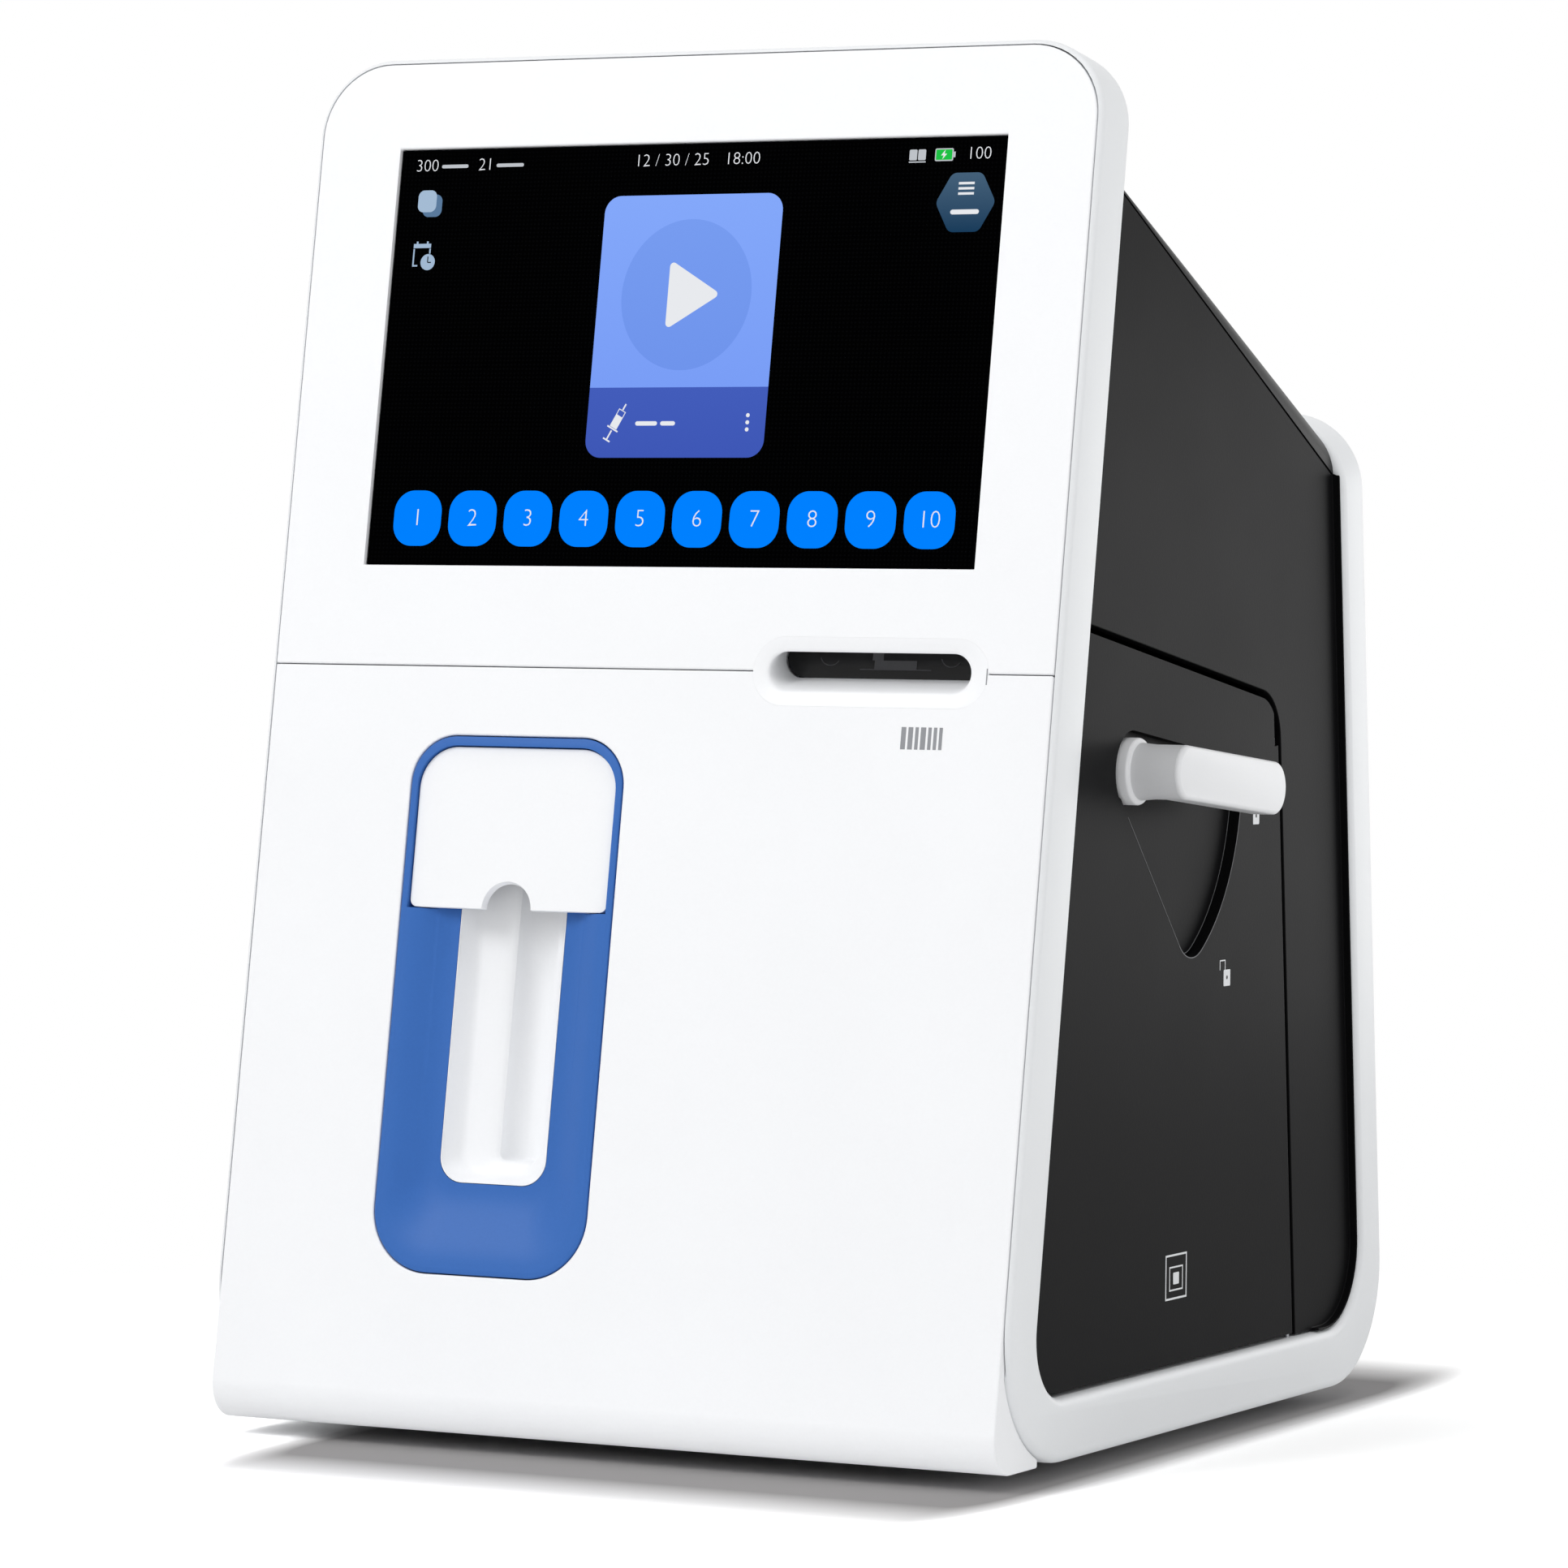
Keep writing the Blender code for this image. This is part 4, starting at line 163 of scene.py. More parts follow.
def arc(centre: tuple, radius: float, start: float, stop: float, steps: int = 12) -> np.ndarray:
    """Points at centre + radius (cos t, sin t) for t from start to stop."""
    turn = np.linspace(start, stop, steps + 1)
    return np.stack([centre[0] + radius * np.cos(turn), centre[1] + radius * np.sin(turn)], -1)


@dataclass(frozen=True)
class Outline:
    """Closed counter-clockwise outline of straight sides and round corners."""

    corners: tuple
    radii: tuple
    steps: int = 12

    def points(self, inset: float = 0.0) -> np.ndarray:
        """Points of the outline, its sides moved inwards by an amount.

        Each corner moves along the sum of its two sides' inward normals, and its
        arc is centre + radius (cos t, sin t) between the two tangent points.

        Args:
            inset: how far the sides move inwards.
        Returns:
            An array of places, one row each.
        """
        here = np.array(self.corners, float)
        arrive = here - np.roll(here, 1, axis=0)
        arrive /= np.linalg.norm(arrive, axis=1)[:, None]
        leave = np.roll(arrive, -1, axis=0)
        first = np.stack([-arrive[:, 1], arrive[:, 0]], -1)
        second = np.stack([-leave[:, 1], leave[:, 0]], -1)
        moved = here + (first + second) * (inset / (1 + (first * second).sum(1)))[:, None]
        turn = np.sign(arrive[:, 0] * leave[:, 1] - arrive[:, 1] * leave[:, 0])
        parts = []
        for spot, radius, side, back, ahead in zip(moved, self.radii, turn, -arrive, leave):
            if radius <= 0:
                parts.append(spot[None, :])
                continue
            radius = max(radius - side * inset, radius * 0.04)
            half = math.acos(np.clip(back @ ahead, -1, 1)) / 2
            middle = back + ahead
            centre = spot + middle / np.linalg.norm(middle) * radius / math.sin(half)
            spoke = spot + back * radius / math.tan(half) - centre
            begin = math.atan2(spoke[1], spoke[0])
            parts.append(arc(centre, radius, begin, begin + side * (math.pi - 2 * half),
                             self.steps))
        return np.concatenate(parts)


def rectangle(low: tuple, high: tuple, radii: tuple = (0,) * 4, steps: int = 12) -> Outline:
    """Rectangle whose corners, from low left counter-clockwise, have these radii."""
    return Outline(((low[0], low[1]), (high[0], low[1]), (high[0], high[1]), (low[0], high[1])),
                   tuple(radii), steps)


def upright(half: float, low: float, high: float, radii: tuple = (0,) * 4,
            steps: int = 12, middle: float = 0.0) -> Outline:
    """Rectangle from low to high that reaches half a width to each side of a middle."""
    return rectangle((middle - half, low), (middle + half, high), radii, steps)


def around(centre: tuple, width: float, height: float, radius: float,
           steps: int = 12) -> Outline:
    """Rectangle about a centre with four equal corner radii."""
    return rectangle((centre[0] - width / 2, centre[1] - height / 2),
                     (centre[0] + width / 2, centre[1] + height / 2), (radius,) * 4, steps)


def stadium(centre: tuple, width: float, height: float, steps: int = 16) -> Outline:
    """Outline with half-round ends."""
    return around(centre, width, height, min(width, height) / 2 * 0.999, steps)


def disc(centre: tuple, radius: float, steps: int = 48) -> np.ndarray:
    """Points of a circle."""
    return arc(centre, radius, 0, 2 * math.pi * (1 - 1 / steps), steps - 1)


# Surfaces

@dataclass
class Surface:
    """Vertices and faces of one or more closed bodies."""

    verts: np.ndarray = field(default_factory=lambda: np.zeros((0, 3)))
    faces: list = field(default_factory=list)

    def add(self, other: "Surface") -> None:
        """Put another surface's bodies beside this one's."""
        shift = len(self.verts)
        self.verts = np.concatenate([self.verts, other.verts])
        self.faces += [tuple(np.array(face) + shift) for face in other.faces]


def loft(rings: np.ndarray, ring_closed: bool = False) -> Surface:
    """Skin over rings of points, one quad between neighbours on neighbouring rings.

    Args:
        rings: places as (ring, point, xyz); every ring is a closed loop.
        ring_closed: whether the last ring joins the first, as on a hoop.
    Returns:
        A closed surface, capped at both ends unless it is a hoop.
    """
    count, size = rings.shape[:2]
    index = np.arange(count * size).reshape(count, size)
    lower = index if ring_closed else index[:-1]
    upper = np.roll(index, -1, axis=0) if ring_closed else index[1:]
    quads = np.stack([lower, np.roll(lower, -1, axis=1), np.roll(upper, -1, axis=1), upper], -1)
    faces = [tuple(quad) for quad in quads.reshape(-1, 4).tolist()]
    if not ring_closed:
        faces += [tuple(index[0][::-1].tolist()), tuple(index[-1].tolist())]
    return Surface(rings.reshape(-1, 3), faces)


def raised(outline: np.ndarray, level: float, axis: Axis) -> np.ndarray:
    """Outline points put at a level along an axis, as places in a frame."""
    along = np.full(len(outline), level)
    first, second = outline[:, 0], outline[:, 1]
    columns = {Axis.X: (along, first, second), Axis.Y: (first, along, second),
               Axis.Z: (first, second, along)}[axis]
    return np.stack(columns, -1)


def slab(outline: Outline, low: float, high: float, axis: Axis, low_edge: float = 0.0,
         high_edge: float = 0.0, steps: int = 5) -> Surface:
    """Outline drawn out along an axis, with quarter-round rims at its ends.

    A rim of radius e runs through inset e (1 - sin t) at a distance e (1 - cos t)
    from the end, for t from 0 to a quarter turn.

    Args:
        outline: the outline to draw out.
        low: level of the first end.
        high: level of the last end.
        axis: direction to draw out along.
        low_edge: rim radius at the first end.
        high_edge: rim radius at the last end.
        steps: facets of each rim.
    Returns:
        The closed surface.
    """
    turn = np.linspace(0, QUARTER, steps + 1)
    first = [(low + low_edge * (1 - math.cos(t)), low_edge * (1 - math.sin(t))) for t in turn]
    last = [(high - high_edge * (1 - math.cos(t)), high_edge * (1 - math.sin(t)))
            for t in turn[::-1]]
    rows = (first if low_edge > 0 else [(low, 0.0)]) + (last if high_edge > 0 else [(high, 0.0)])
    return loft(np.stack([raised(outline.points(inset), level, axis) for level, inset in rows]))


def prism(points: np.ndarray, low: float, high: float, axis: Axis) -> Surface:
    """Plain drawn-out body of outline points."""
    return loft(np.stack([raised(points, level, axis) for level in (low, high)]))


def cutter(outline: Outline, depth: float) -> Surface:
    """Body that cuts an outline into the front, down to a depth."""
    return slab(outline, -OVER, depth, Axis.Y)


def front_print(outline: Outline) -> Surface:
    """Thin print on the front panels."""
    return slab(outline, PRINT_FRONT, PRINT_BACK, Axis.Y)


def turned(profile: list, centre: tuple, axis: Axis, steps: int = 64) -> Surface:
    """Body of revolution: each (radius, level) of the profile carried round a centre.

    Args:
        profile: pairs of radius and level, from one end to the other.
        centre: the axis's place across it.
        axis: direction of the axis.
        steps: facets round it.
    Returns:
        The closed surface.
    """
    return loft(np.stack([raised(disc(centre, radius, steps), level, axis)
                          for radius, level in profile]))


# Finishes

def linear(colour: tuple) -> tuple:
    """Linear colour of an 8-bit screen colour."""
    share = np.array(colour, float) / 255
    low = share / 12.92
    high = ((share + 0.055) / 1.055) ** 2.4
    return tuple(np.where(share <= 0.04045, low, high).tolist())


@dataclass(frozen=True)
class Graph:
    """Node tree in the making."""

    tree: bpy.types.NodeTree

    def feed(self, node: bpy.types.Node, inputs: dict) -> None:
        """Set a node's inputs, or link them where the value is another node's output."""
        for name, value in inputs.items():
            if isinstance(value, bpy.types.NodeSocket):
                self.tree.links.new(value, node.inputs[name])
            else:
                node.inputs[name].default_value = value

    def add(self, kind: str, output: str = "", inputs: dict = None, **settings) -> object:
        """Add a node.

        Args:
            kind: its type, without ShaderNode in front.
            output: name of the output that is wanted.
            inputs: values or outputs of other nodes, by the input's name or number.
            settings: the node's own settings.
        Returns:
            The wanted output, or the node where none is named.
        """
        node = self.tree.nodes.new("ShaderNode" + kind)
        for name, value in settings.items():
            setattr(node, name, value)
        self.feed(node, inputs or {})
        return node.outputs[output] if output else node

    def ramp(self, share: bpy.types.NodeSocket, *stops: tuple) -> bpy.types.NodeSocket:
        """Colour ramp of pairs of place and linear colour, its two ends first."""
        node = self.add("ValToRGB", inputs={"Fac": share})
        elements = node.color_ramp.elements
        for index, (place, colour) in enumerate(stops):
            stop = elements[index] if index < 2 else elements.new(place)
            stop.position = place
            stop.color = (*colour, 1)
        return node.outputs["Color"]


@dataclass(frozen=True)
class Look:
    """Named node material."""

    name: str

    def inputs(self, graph: Graph) -> dict:
        """Inputs of the material's shader, with the nodes before them."""
        raise NotImplementedError

    def build(self) -> bpy.types.Material:
        """The material, made on first use."""
        made = bpy.data.materials.get(self.name)
        if not made:
            made = bpy.data.materials.new(self.name)
            made.use_nodes = True
            graph = Graph(made.node_tree)
            graph.feed(made.node_tree.nodes["Principled BSDF"], self.inputs(graph))
        return made


@dataclass(frozen=True)
class Finish(Look):
    """Moulded, painted or metal finish with a fine grain in tone, gloss and relief."""

    colour: tuple
    roughness: float = 0.45
    metallic: float = 0.0
    specular: float = 0.5
    tone: float = 0.03
    grain: float = 1400.0
    relief: float = 0.00002
    brushed: bool = False

    def inputs(self, graph: Graph) -> dict:
        """Inputs of the shader: a fine noise and a broad one vary it."""
        place = graph.add("TexCoord", "Object")
        along = graph.add("Mapping", "Vector", {
            "Vector": place, "Scale": (0.04, 1, 1) if self.brushed else (1, 1, 1)})
        fine = graph.add("TexNoise", "Fac", {"Vector": along, "Scale": self.grain, "Detail": 3.0})
        broad = graph.add("TexNoise", "Fac", {"Vector": place, "Scale": 26.0, "Detail": 2.0})
        both = graph.add("Mix", "Result", {"Factor": 0.5, "A": fine, "B": broad},
                         data_type="FLOAT")
        base = np.array(linear(self.colour))
        low, high = base * (1 - self.tone), np.minimum(base * (1 + self.tone), 1)
        gloss = graph.add("MapRange", "Result", {
            "Value": broad, "To Min": self.roughness * 0.92, "To Max": self.roughness * 1.08})
        bump = graph.add("Bump", "Normal", {
            "Height": fine, "Strength": 0.6, "Distance": self.relief})
        return {"Metallic": self.metallic, "Specular IOR Level": self.specular,
                "Base Color": graph.ramp(both, (0.3, low), (0.7, high)),
                "Roughness": gloss, "Normal": bump}


@dataclass(frozen=True)
class Glow(Look):
    """Lit screen colour that runs from one tone below to another above."""

    low: tuple
    high: tuple
    start: float = 0.0
    stop: float = 1.0

    def inputs(self, graph: Graph) -> dict:
        """Inputs of the shader, its glow changing with the height."""
        place = graph.add("TexCoord", "Object")
        height = graph.add("SeparateXYZ", "Z", {"Vector": place})
        reach = graph.add("MapRange", "Result", {
            "Value": height, "From Min": self.start, "From Max": self.stop})
        return {"Base Color": (0, 0, 0, 1), "Roughness": 0.3, "Specular IOR Level": 0.0,
                "Emission Color": graph.ramp(reach, (0, linear(self.low)),
                                             (1, linear(self.high))),
                "Emission Strength": 1.0}


@dataclass(frozen=True)
class ScreenGlass(Look):
    """Black touch glass over a faint dot grid."""

    name: str = "touch_glass_black"
    pitch: float = 0.0011

    def inputs(self, graph: Graph) -> dict:
        """Inputs of the shader, with a dot at the middle of each cell of the grid."""
        place = graph.add("TexCoord", "Object")
        tilted = graph.add("Mapping", "Vector", {
            "Vector": place, "Rotation": (FRONT_LEAN, 0, 0), "Scale": (1 / self.pitch,) * 3})
        reach = graph.add("TexVoronoi", "Distance", {
            "Vector": tilted, "Randomness": 0.0, "Scale": 1.0})
        return {"Roughness": 0.22, "Specular IOR Level": 0.0,
                "Base Color": graph.ramp(reach, (0.25, (0.0024, 0.0026, 0.0031)),
                                         (0.45, (0.0005, 0.0005, 0.0006)))}


WHITE = Finish("front_white_plastic", (246, 247, 249), 0.42, tone=0.012)
BAND = Finish("band_white_plastic", (236, 238, 240), 0.40, tone=0.012)
BLUE = Finish("inlet_blue_plastic", (58, 107, 182), 0.40, specular=0.16, tone=0.03)
DARK = Finish("cover_dark_plastic", (16, 16, 17), 0.40, specular=0.035, tone=0.06,
              relief=0.00003)
TOP_DARK = Finish("lid_dark_plastic", (17, 17, 18), 0.34, specular=0.07, tone=0.06,
                  relief=0.00003)
LEVER_GREY = Finish("lever_white_plastic", (232, 233, 235), 0.36, tone=0.012)
MARK_GREY = Finish("printed_grey", (142, 144, 148), 0.55, tone=0.02)
# Light grey of the strips that paint highlights along the door pocket's edges
EDGE_HIGHLIGHT_GREY = Finish("pocket_edge_painted_highlight", (112, 113, 115), 0.5, specular=0.1, tone=0.02)
MARK_WHITE = Finish("printed_white", (226, 228, 230), 0.55, tone=0.02)
STEEL = Finish("brushed_sheet_steel", (176, 178, 182), 0.34, metallic=1.0, tone=0.05, grain=900,
               brushed=True)
BOARD = Finish("board_green", (16, 84, 50), 0.45, tone=0.12, grain=500)
RUBBER = Finish("foot_rubber", (30, 30, 31), 0.8, tone=0.08, grain=700, relief=0.00006)
READER_GLASS = Finish("reader_glass", (14, 14, 15), 0.2, specular=0.22, tone=0.05)
READER_PARTS = Finish("reader_parts", (74, 74, 76), 0.5, specular=0.1, tone=0.08)
BLACK = Finish("socket_black", (24, 24, 26), 0.5, tone=0.06)
BRASS = Finish("contact_brass", (196, 160, 92), 0.3, metallic=1.0, tone=0.04)

SLOT_FINISHES = {"front_white": WHITE, "band_white": BAND, "inlet_blue": BLUE,
                 "cover_dark": DARK, "lever_grey": LEVER_GREY, "plain_steel": STEEL,
                 "board_green": BOARD, "foot_rubber": RUBBER}


# Objects

def link_object(name: str, data: bpy.types.ID) -> bpy.types.Object:
    """New object in the scene that holds some data."""
    made = bpy.data.objects.new(name, data)
    bpy.context.scene.collection.objects.link(made)
    return made


def add_object(name: str, surface: Surface, face: Face) -> bpy.types.Object:
    """Scene object of a surface, its faces pointing outwards.

    Args:
        name: the piece's name.
        surface: its bodies, in the face's frame.
        face: the frame of its places.
    Returns:
        The object, at the origin with its place in its mesh.
    """
    mesh = bpy.data.meshes.new(name)
    mesh.from_pydata(to_world(surface.verts, face).tolist(), [], surface.faces)
    shape = bmesh.new()
    shape.from_mesh(mesh)
    bmesh.ops.recalc_face_normals(shape, faces=shape.faces)
    shape.to_mesh(mesh)
    shape.free()
    return link_object(name, mesh)


def discard(piece: bpy.types.Object) -> None:
    """Delete a piece with its mesh."""
    mesh = piece.data
    bpy.data.objects.remove(piece)
    bpy.data.meshes.remove(mesh)


def evaluate(piece: bpy.types.Object) -> None:
    """Apply a piece's modifiers to its mesh."""
    graph = bpy.context.evaluated_depsgraph_get()
    mesh = bpy.data.meshes.new_from_object(piece.evaluated_get(graph))
    old = piece.data
    piece.modifiers.clear()
    piece.data = mesh
    bpy.data.meshes.remove(old)


def attach(piece: bpy.types.Object, helper: bpy.types.Object, operation: str) -> None:
    """Give a piece a Boolean modifier of DIFFERENCE or UNION with another one."""
    change = piece.modifiers.new("combine", "BOOLEAN")
    change.operation = operation
    change.object = helper


def cut(piece: bpy.types.Object, face: Face, *bodies: Surface) -> None:
    """Cut closed surfaces out of a piece."""
    combine(piece, face, "DIFFERENCE", bodies)


def join(piece: bpy.types.Object, face: Face, *bodies: Surface) -> None:
    """Join closed surfaces to a piece."""
    combine(piece, face, "UNION", bodies)


def combine(piece: bpy.types.Object, face: Face, operation: str, bodies: tuple) -> None:
    """Cut bodies out of a piece, or join them to it, their places in a face's frame."""
    helpers = [add_object(f"{piece.name}_helper", body, face) for body in bodies]
    for helper in helpers:
        attach(piece, helper, operation)
    evaluate(piece)
    for helper in helpers:
        discard(helper)


def soften(piece: bpy.types.Object, width: float, angle: float = 40.0) -> None:
    """Round the sharp edges of a piece."""
    piece.data.shade_smooth()
    bevel = piece.modifiers.new("soften", "BEVEL")
    bevel.width = width
    bevel.segments = 3
    bevel.limit_method = "ANGLE"
    bevel.angle_limit = math.radians(angle)
    bevel.harden_normals = True
    bevel.use_clamp_overlap = True
    evaluate(piece)


def level_flats(piece: bpy.types.Object, angle: float = 30.0) -> None:
    """Shade a piece smoothly with its large flat faces kept flat."""
    piece.data.shade_smooth()
    piece.data.set_sharp_from_angle(angle=math.radians(angle))
    weigh = piece.modifiers.new("weigh", "WEIGHTED_NORMAL")
    weigh.keep_sharp = True
    evaluate(piece)


def dress(piece: bpy.types.Object, finish: Look, body: str, *nodes: str, slot: str = "",
          sharp: float = 0.0) -> None:
    """Give a piece its finish, its body and the nodes that it stands for.

    Args:
        piece: the piece.
        finish: what it is made of.
        body: the body that it moves with.
        nodes: frame nodes that it replaces.
        slot: the record's material slot; not used.
        sharp: angle in degrees past which its edges are shaded sharp, 0 for none.
    """
    piece.data.materials.clear()
    piece.data.materials.append(finish.build())
    if sharp > 0:
        piece.data.shade_smooth()
        piece.data.set_sharp_from_angle(angle=math.radians(sharp))
    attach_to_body(piece, body)
    if nodes:
        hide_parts(*nodes)
    LOG.info("%s on %s: %d faces", piece.name, body, len(piece.data.polygons))


def add_group(name: str, face: Face, finish: Look, body: str, bodies: list) -> None:
    """Add a dressed piece of several small bodies, such as prints or pins."""
    surface = Surface()
    for one in bodies:
        surface.add(one)
    dress(add_object(name, surface, face), finish, body)


# Sub-assemblies

@dataclass
class OuterFrame:
    """White C-shaped frame: front ring, sole and rear ring."""

    front_height: float = 0.352
    rear_height: float = 0.261
    front_radius: float = 0.033
    rear_radius: float = 0.031
    inner_front_radius: float = 0.016
    inner_rear_radius: float = 0.021
    top_radius: float = 0.020
    edge: float = 0.0024
    rim: float = 0.0013
    ledge: float = 0.014
    wall: float = 0.0065
    back_wall: float = 0.0025
    panel: float = 0.0030
    display_top: float = 0.052
    rear_inset: float = 0.0045
    rear_low: float = 0.0345
    rear_panel: float = 0.0031
    rear_ledge: float = 0.0070
    tray: tuple = (0.0388, 0.2118)
    tray_inset: float = 0.0092
    tray_floor: float = 0.0025

    def corner_tool(self, side: int, height: float, low: float, high: float) -> Surface:
        """Cutter of a top corner, whose round face flares out at both of its ends.

        Its arc keeps a radius of top_radius less the rim inset e (1 - sin t).
        """
        rows = []
        for turn in np.linspace(0, QUARTER, 6):
            rows.append((low + self.edge * (1 - math.cos(turn)),
                         self.edge * (1 - math.sin(turn))))
        rows += [(low + high - level, inset) for level, inset in rows[::-1]]
        rows = [(low - OVER, self.edge)] + rows + [(high + OVER, self.edge)]
        rings = []
        start = QUARTER - side * QUARTER
        for level, inset in rows:
            centre = (side * (HALF_WIDTH - self.top_radius), height - self.top_radius)
            curve = arc(centre, self.top_radius - inset, start, QUARTER, 16)
            edge = side * (HALF_WIDTH + OVER)
            top = height + OVER
            outline = np.concatenate([curve, [(centre[0], top), (edge, top), (edge, centre[1])]])
            rings.append(raised(outline, level, Axis.Y))
        return loft(np.stack(rings))

    def build(self) -> None:
        """Loft the C across the width, then cut its corners, pockets and openings."""
        corners = ((0, 0), (BODY_DEPTH, 0), rear_point(0, self.rear_height),
                   rear_point(REAR_BAND, self.rear_height),
                   (rear_y(REAR_BAND, SOLE), SOLE),
                   (front_y(FRONT_BAND, SOLE), SOLE),
                   front_point(FRONT_BAND, self.front_height),
                   front_point(0, self.front_height))
        radii = (self.front_radius, self.rear_radius, self.edge, self.edge,
                 self.inner_rear_radius, self.inner_front_radius, self.edge, self.edge)
        piece = add_object("outer_frame_shell",
                           slab(Outline(corners, radii, 20), -HALF_WIDTH, HALF_WIDTH, Axis.X,
                                self.edge, self.edge), Face.BODY)
        for face, height, low, high in ((Face.FRONT, self.front_height, 0, FRONT_BAND),
                                        (Face.REAR, self.rear_height, -REAR_BAND, 0)):
            cut(piece, face, *[self.corner_tool(side, height, low, high) for side in (-1, 1)])
        radius = self.top_radius - self.rim
        panels = upright(PANEL_HALF + GAP, -SOLE, self.front_height - self.rim,
                         (0, 0, radius, radius))
        hollow = HALF_WIDTH - self.wall
        low = self.ledge + SOLE
        cut(piece, Face.FRONT, cutter(panels, self.panel + GAP),
            slab(upright(hollow, low, self.front_height - self.ledge),
                 0, FRONT_BAND - self.back_wall, Axis.Y),
            slab(upright(hollow, low, self.front_height - self.display_top),
                 0, FRONT_BAND + OVER, Axis.Y))
        side = HALF_WIDTH - self.rear_inset
        top = self.rear_height - 0.0075
        opening = upright(side - self.rear_ledge, self.rear_low + self.rear_ledge,
                          top - self.rear_ledge, (0.004,) * 4)
        cut(piece, Face.REAR,
            slab(upright(side, self.rear_low, top, (0.004, 0.004, 0.015, 0.015)),
                 -self.rear_panel, OVER, Axis.Y),
            slab(opening, -REAR_BAND - OVER, OVER, Axis.Y))
        cut(piece, Face.BODY,
            slab(upright(HALF_WIDTH - self.tray_inset, *self.tray, (self.edge,) * 4),
                 self.tray_floor, SOLE + OVER, Axis.Z))
        dress(piece, BAND, "housing", "outer_frame", slot="band_white", sharp=32)


@dataclass
class FrontPanels:
    """Upper panel round the screen and lower panel with the chin."""

    top: float = 0.3504
    thickness: float = 0.0030
    radius: float = 0.0187
    chin_radius: float = 0.0092
    chin_reach: float = 0.026
    screen_half: tuple = (0.0861, 0.0538)
    screen_centre: float = 0.2740
    bezel: tuple = (0.0603, 0.0644, 0.0173)
    bars: tuple = (0.0702, 0.1753, 0.1808)
    bar_gap: float = 0.0006
    soft: float = 0.0005
    cut_depth: float = 0.005

    def bezel_hole(self) -> Surface:
        """Cutter of the scanner bezel's seat."""
        centre, width, height = self.bezel
        return cutter(stadium((centre, PANEL_SEAM), width, height), self.cut_depth)

    def build_upper(self) -> None:
        """Plate with round top corners and the screen's window."""
        outline = upright(PANEL_HALF, PANEL_SEAM + GAP / 2, self.top,
                          (0.0004, 0.0004, self.radius, self.radius), 16)
        piece = add_object("upper_front", slab(outline, 0, self.thickness, Axis.Y), Face.FRONT)
        half_x, half_z = self.screen_half
        window = around((0, self.screen_centre), 2 * (half_x + GAP), 2 * (half_z + GAP), 0)
        cut(piece, Face.FRONT, cutter(window, self.cut_depth))
        soften(piece, self.soft)
        cut(piece, Face.FRONT, self.bezel_hole())
        level_flats(piece)
        dress(piece, WHITE, "housing", "front_panel_upper", slot="front_white")

    def build_lower(self) -> None:
        """Skin that runs down the front and curves under at the chin."""
        tangent, radius, reach = 0.0388, 0.033, 0.0333
        start = math.pi - FRONT_LEAN + math.acos((radius - self.thickness) / reach)
        stop = 3 * QUARTER - math.asin((tangent - self.chin_reach) / reach)
        inner = arc((tangent, radius), reach, stop, start, 10)
        seam = PANEL_SEAM - GAP / 2
        skin = Outline((front_point(0, seam), (0, 0), (self.chin_reach, 0)),
                       (0, self.chin_radius, 0), 16).points()
        outline = np.concatenate([skin, inner, [front_point(self.thickness, seam)]])
        piece = add_object("lower_front", prism(outline, -PANEL_HALF, PANEL_HALF, Axis.X),
                           Face.BODY)
        cut(piece, Face.FRONT, cutter(INLET.outline(0), self.cut_depth))
        soften(piece, self.soft)
        cut(piece, Face.FRONT, self.bezel_hole())
        level_flats(piece)
        dress(piece, WHITE, "housing", "front_panel_lower", slot="front_white")

    def build_marks(self) -> None:
        """Seven plain grey bars printed beside the scanner."""
        marks = []
        across, low, high = self.bars
        for width in (0.0013, 0.0013, 0.0009, 0.0014, 0.0009, 0.0009, 0.0009):
            marks.append(front_print(rectangle((across, low), (across + width, high))))
            across += width + self.bar_gap
        add_group("scan_bars", Face.FRONT, MARK_GREY, "housing", marks)


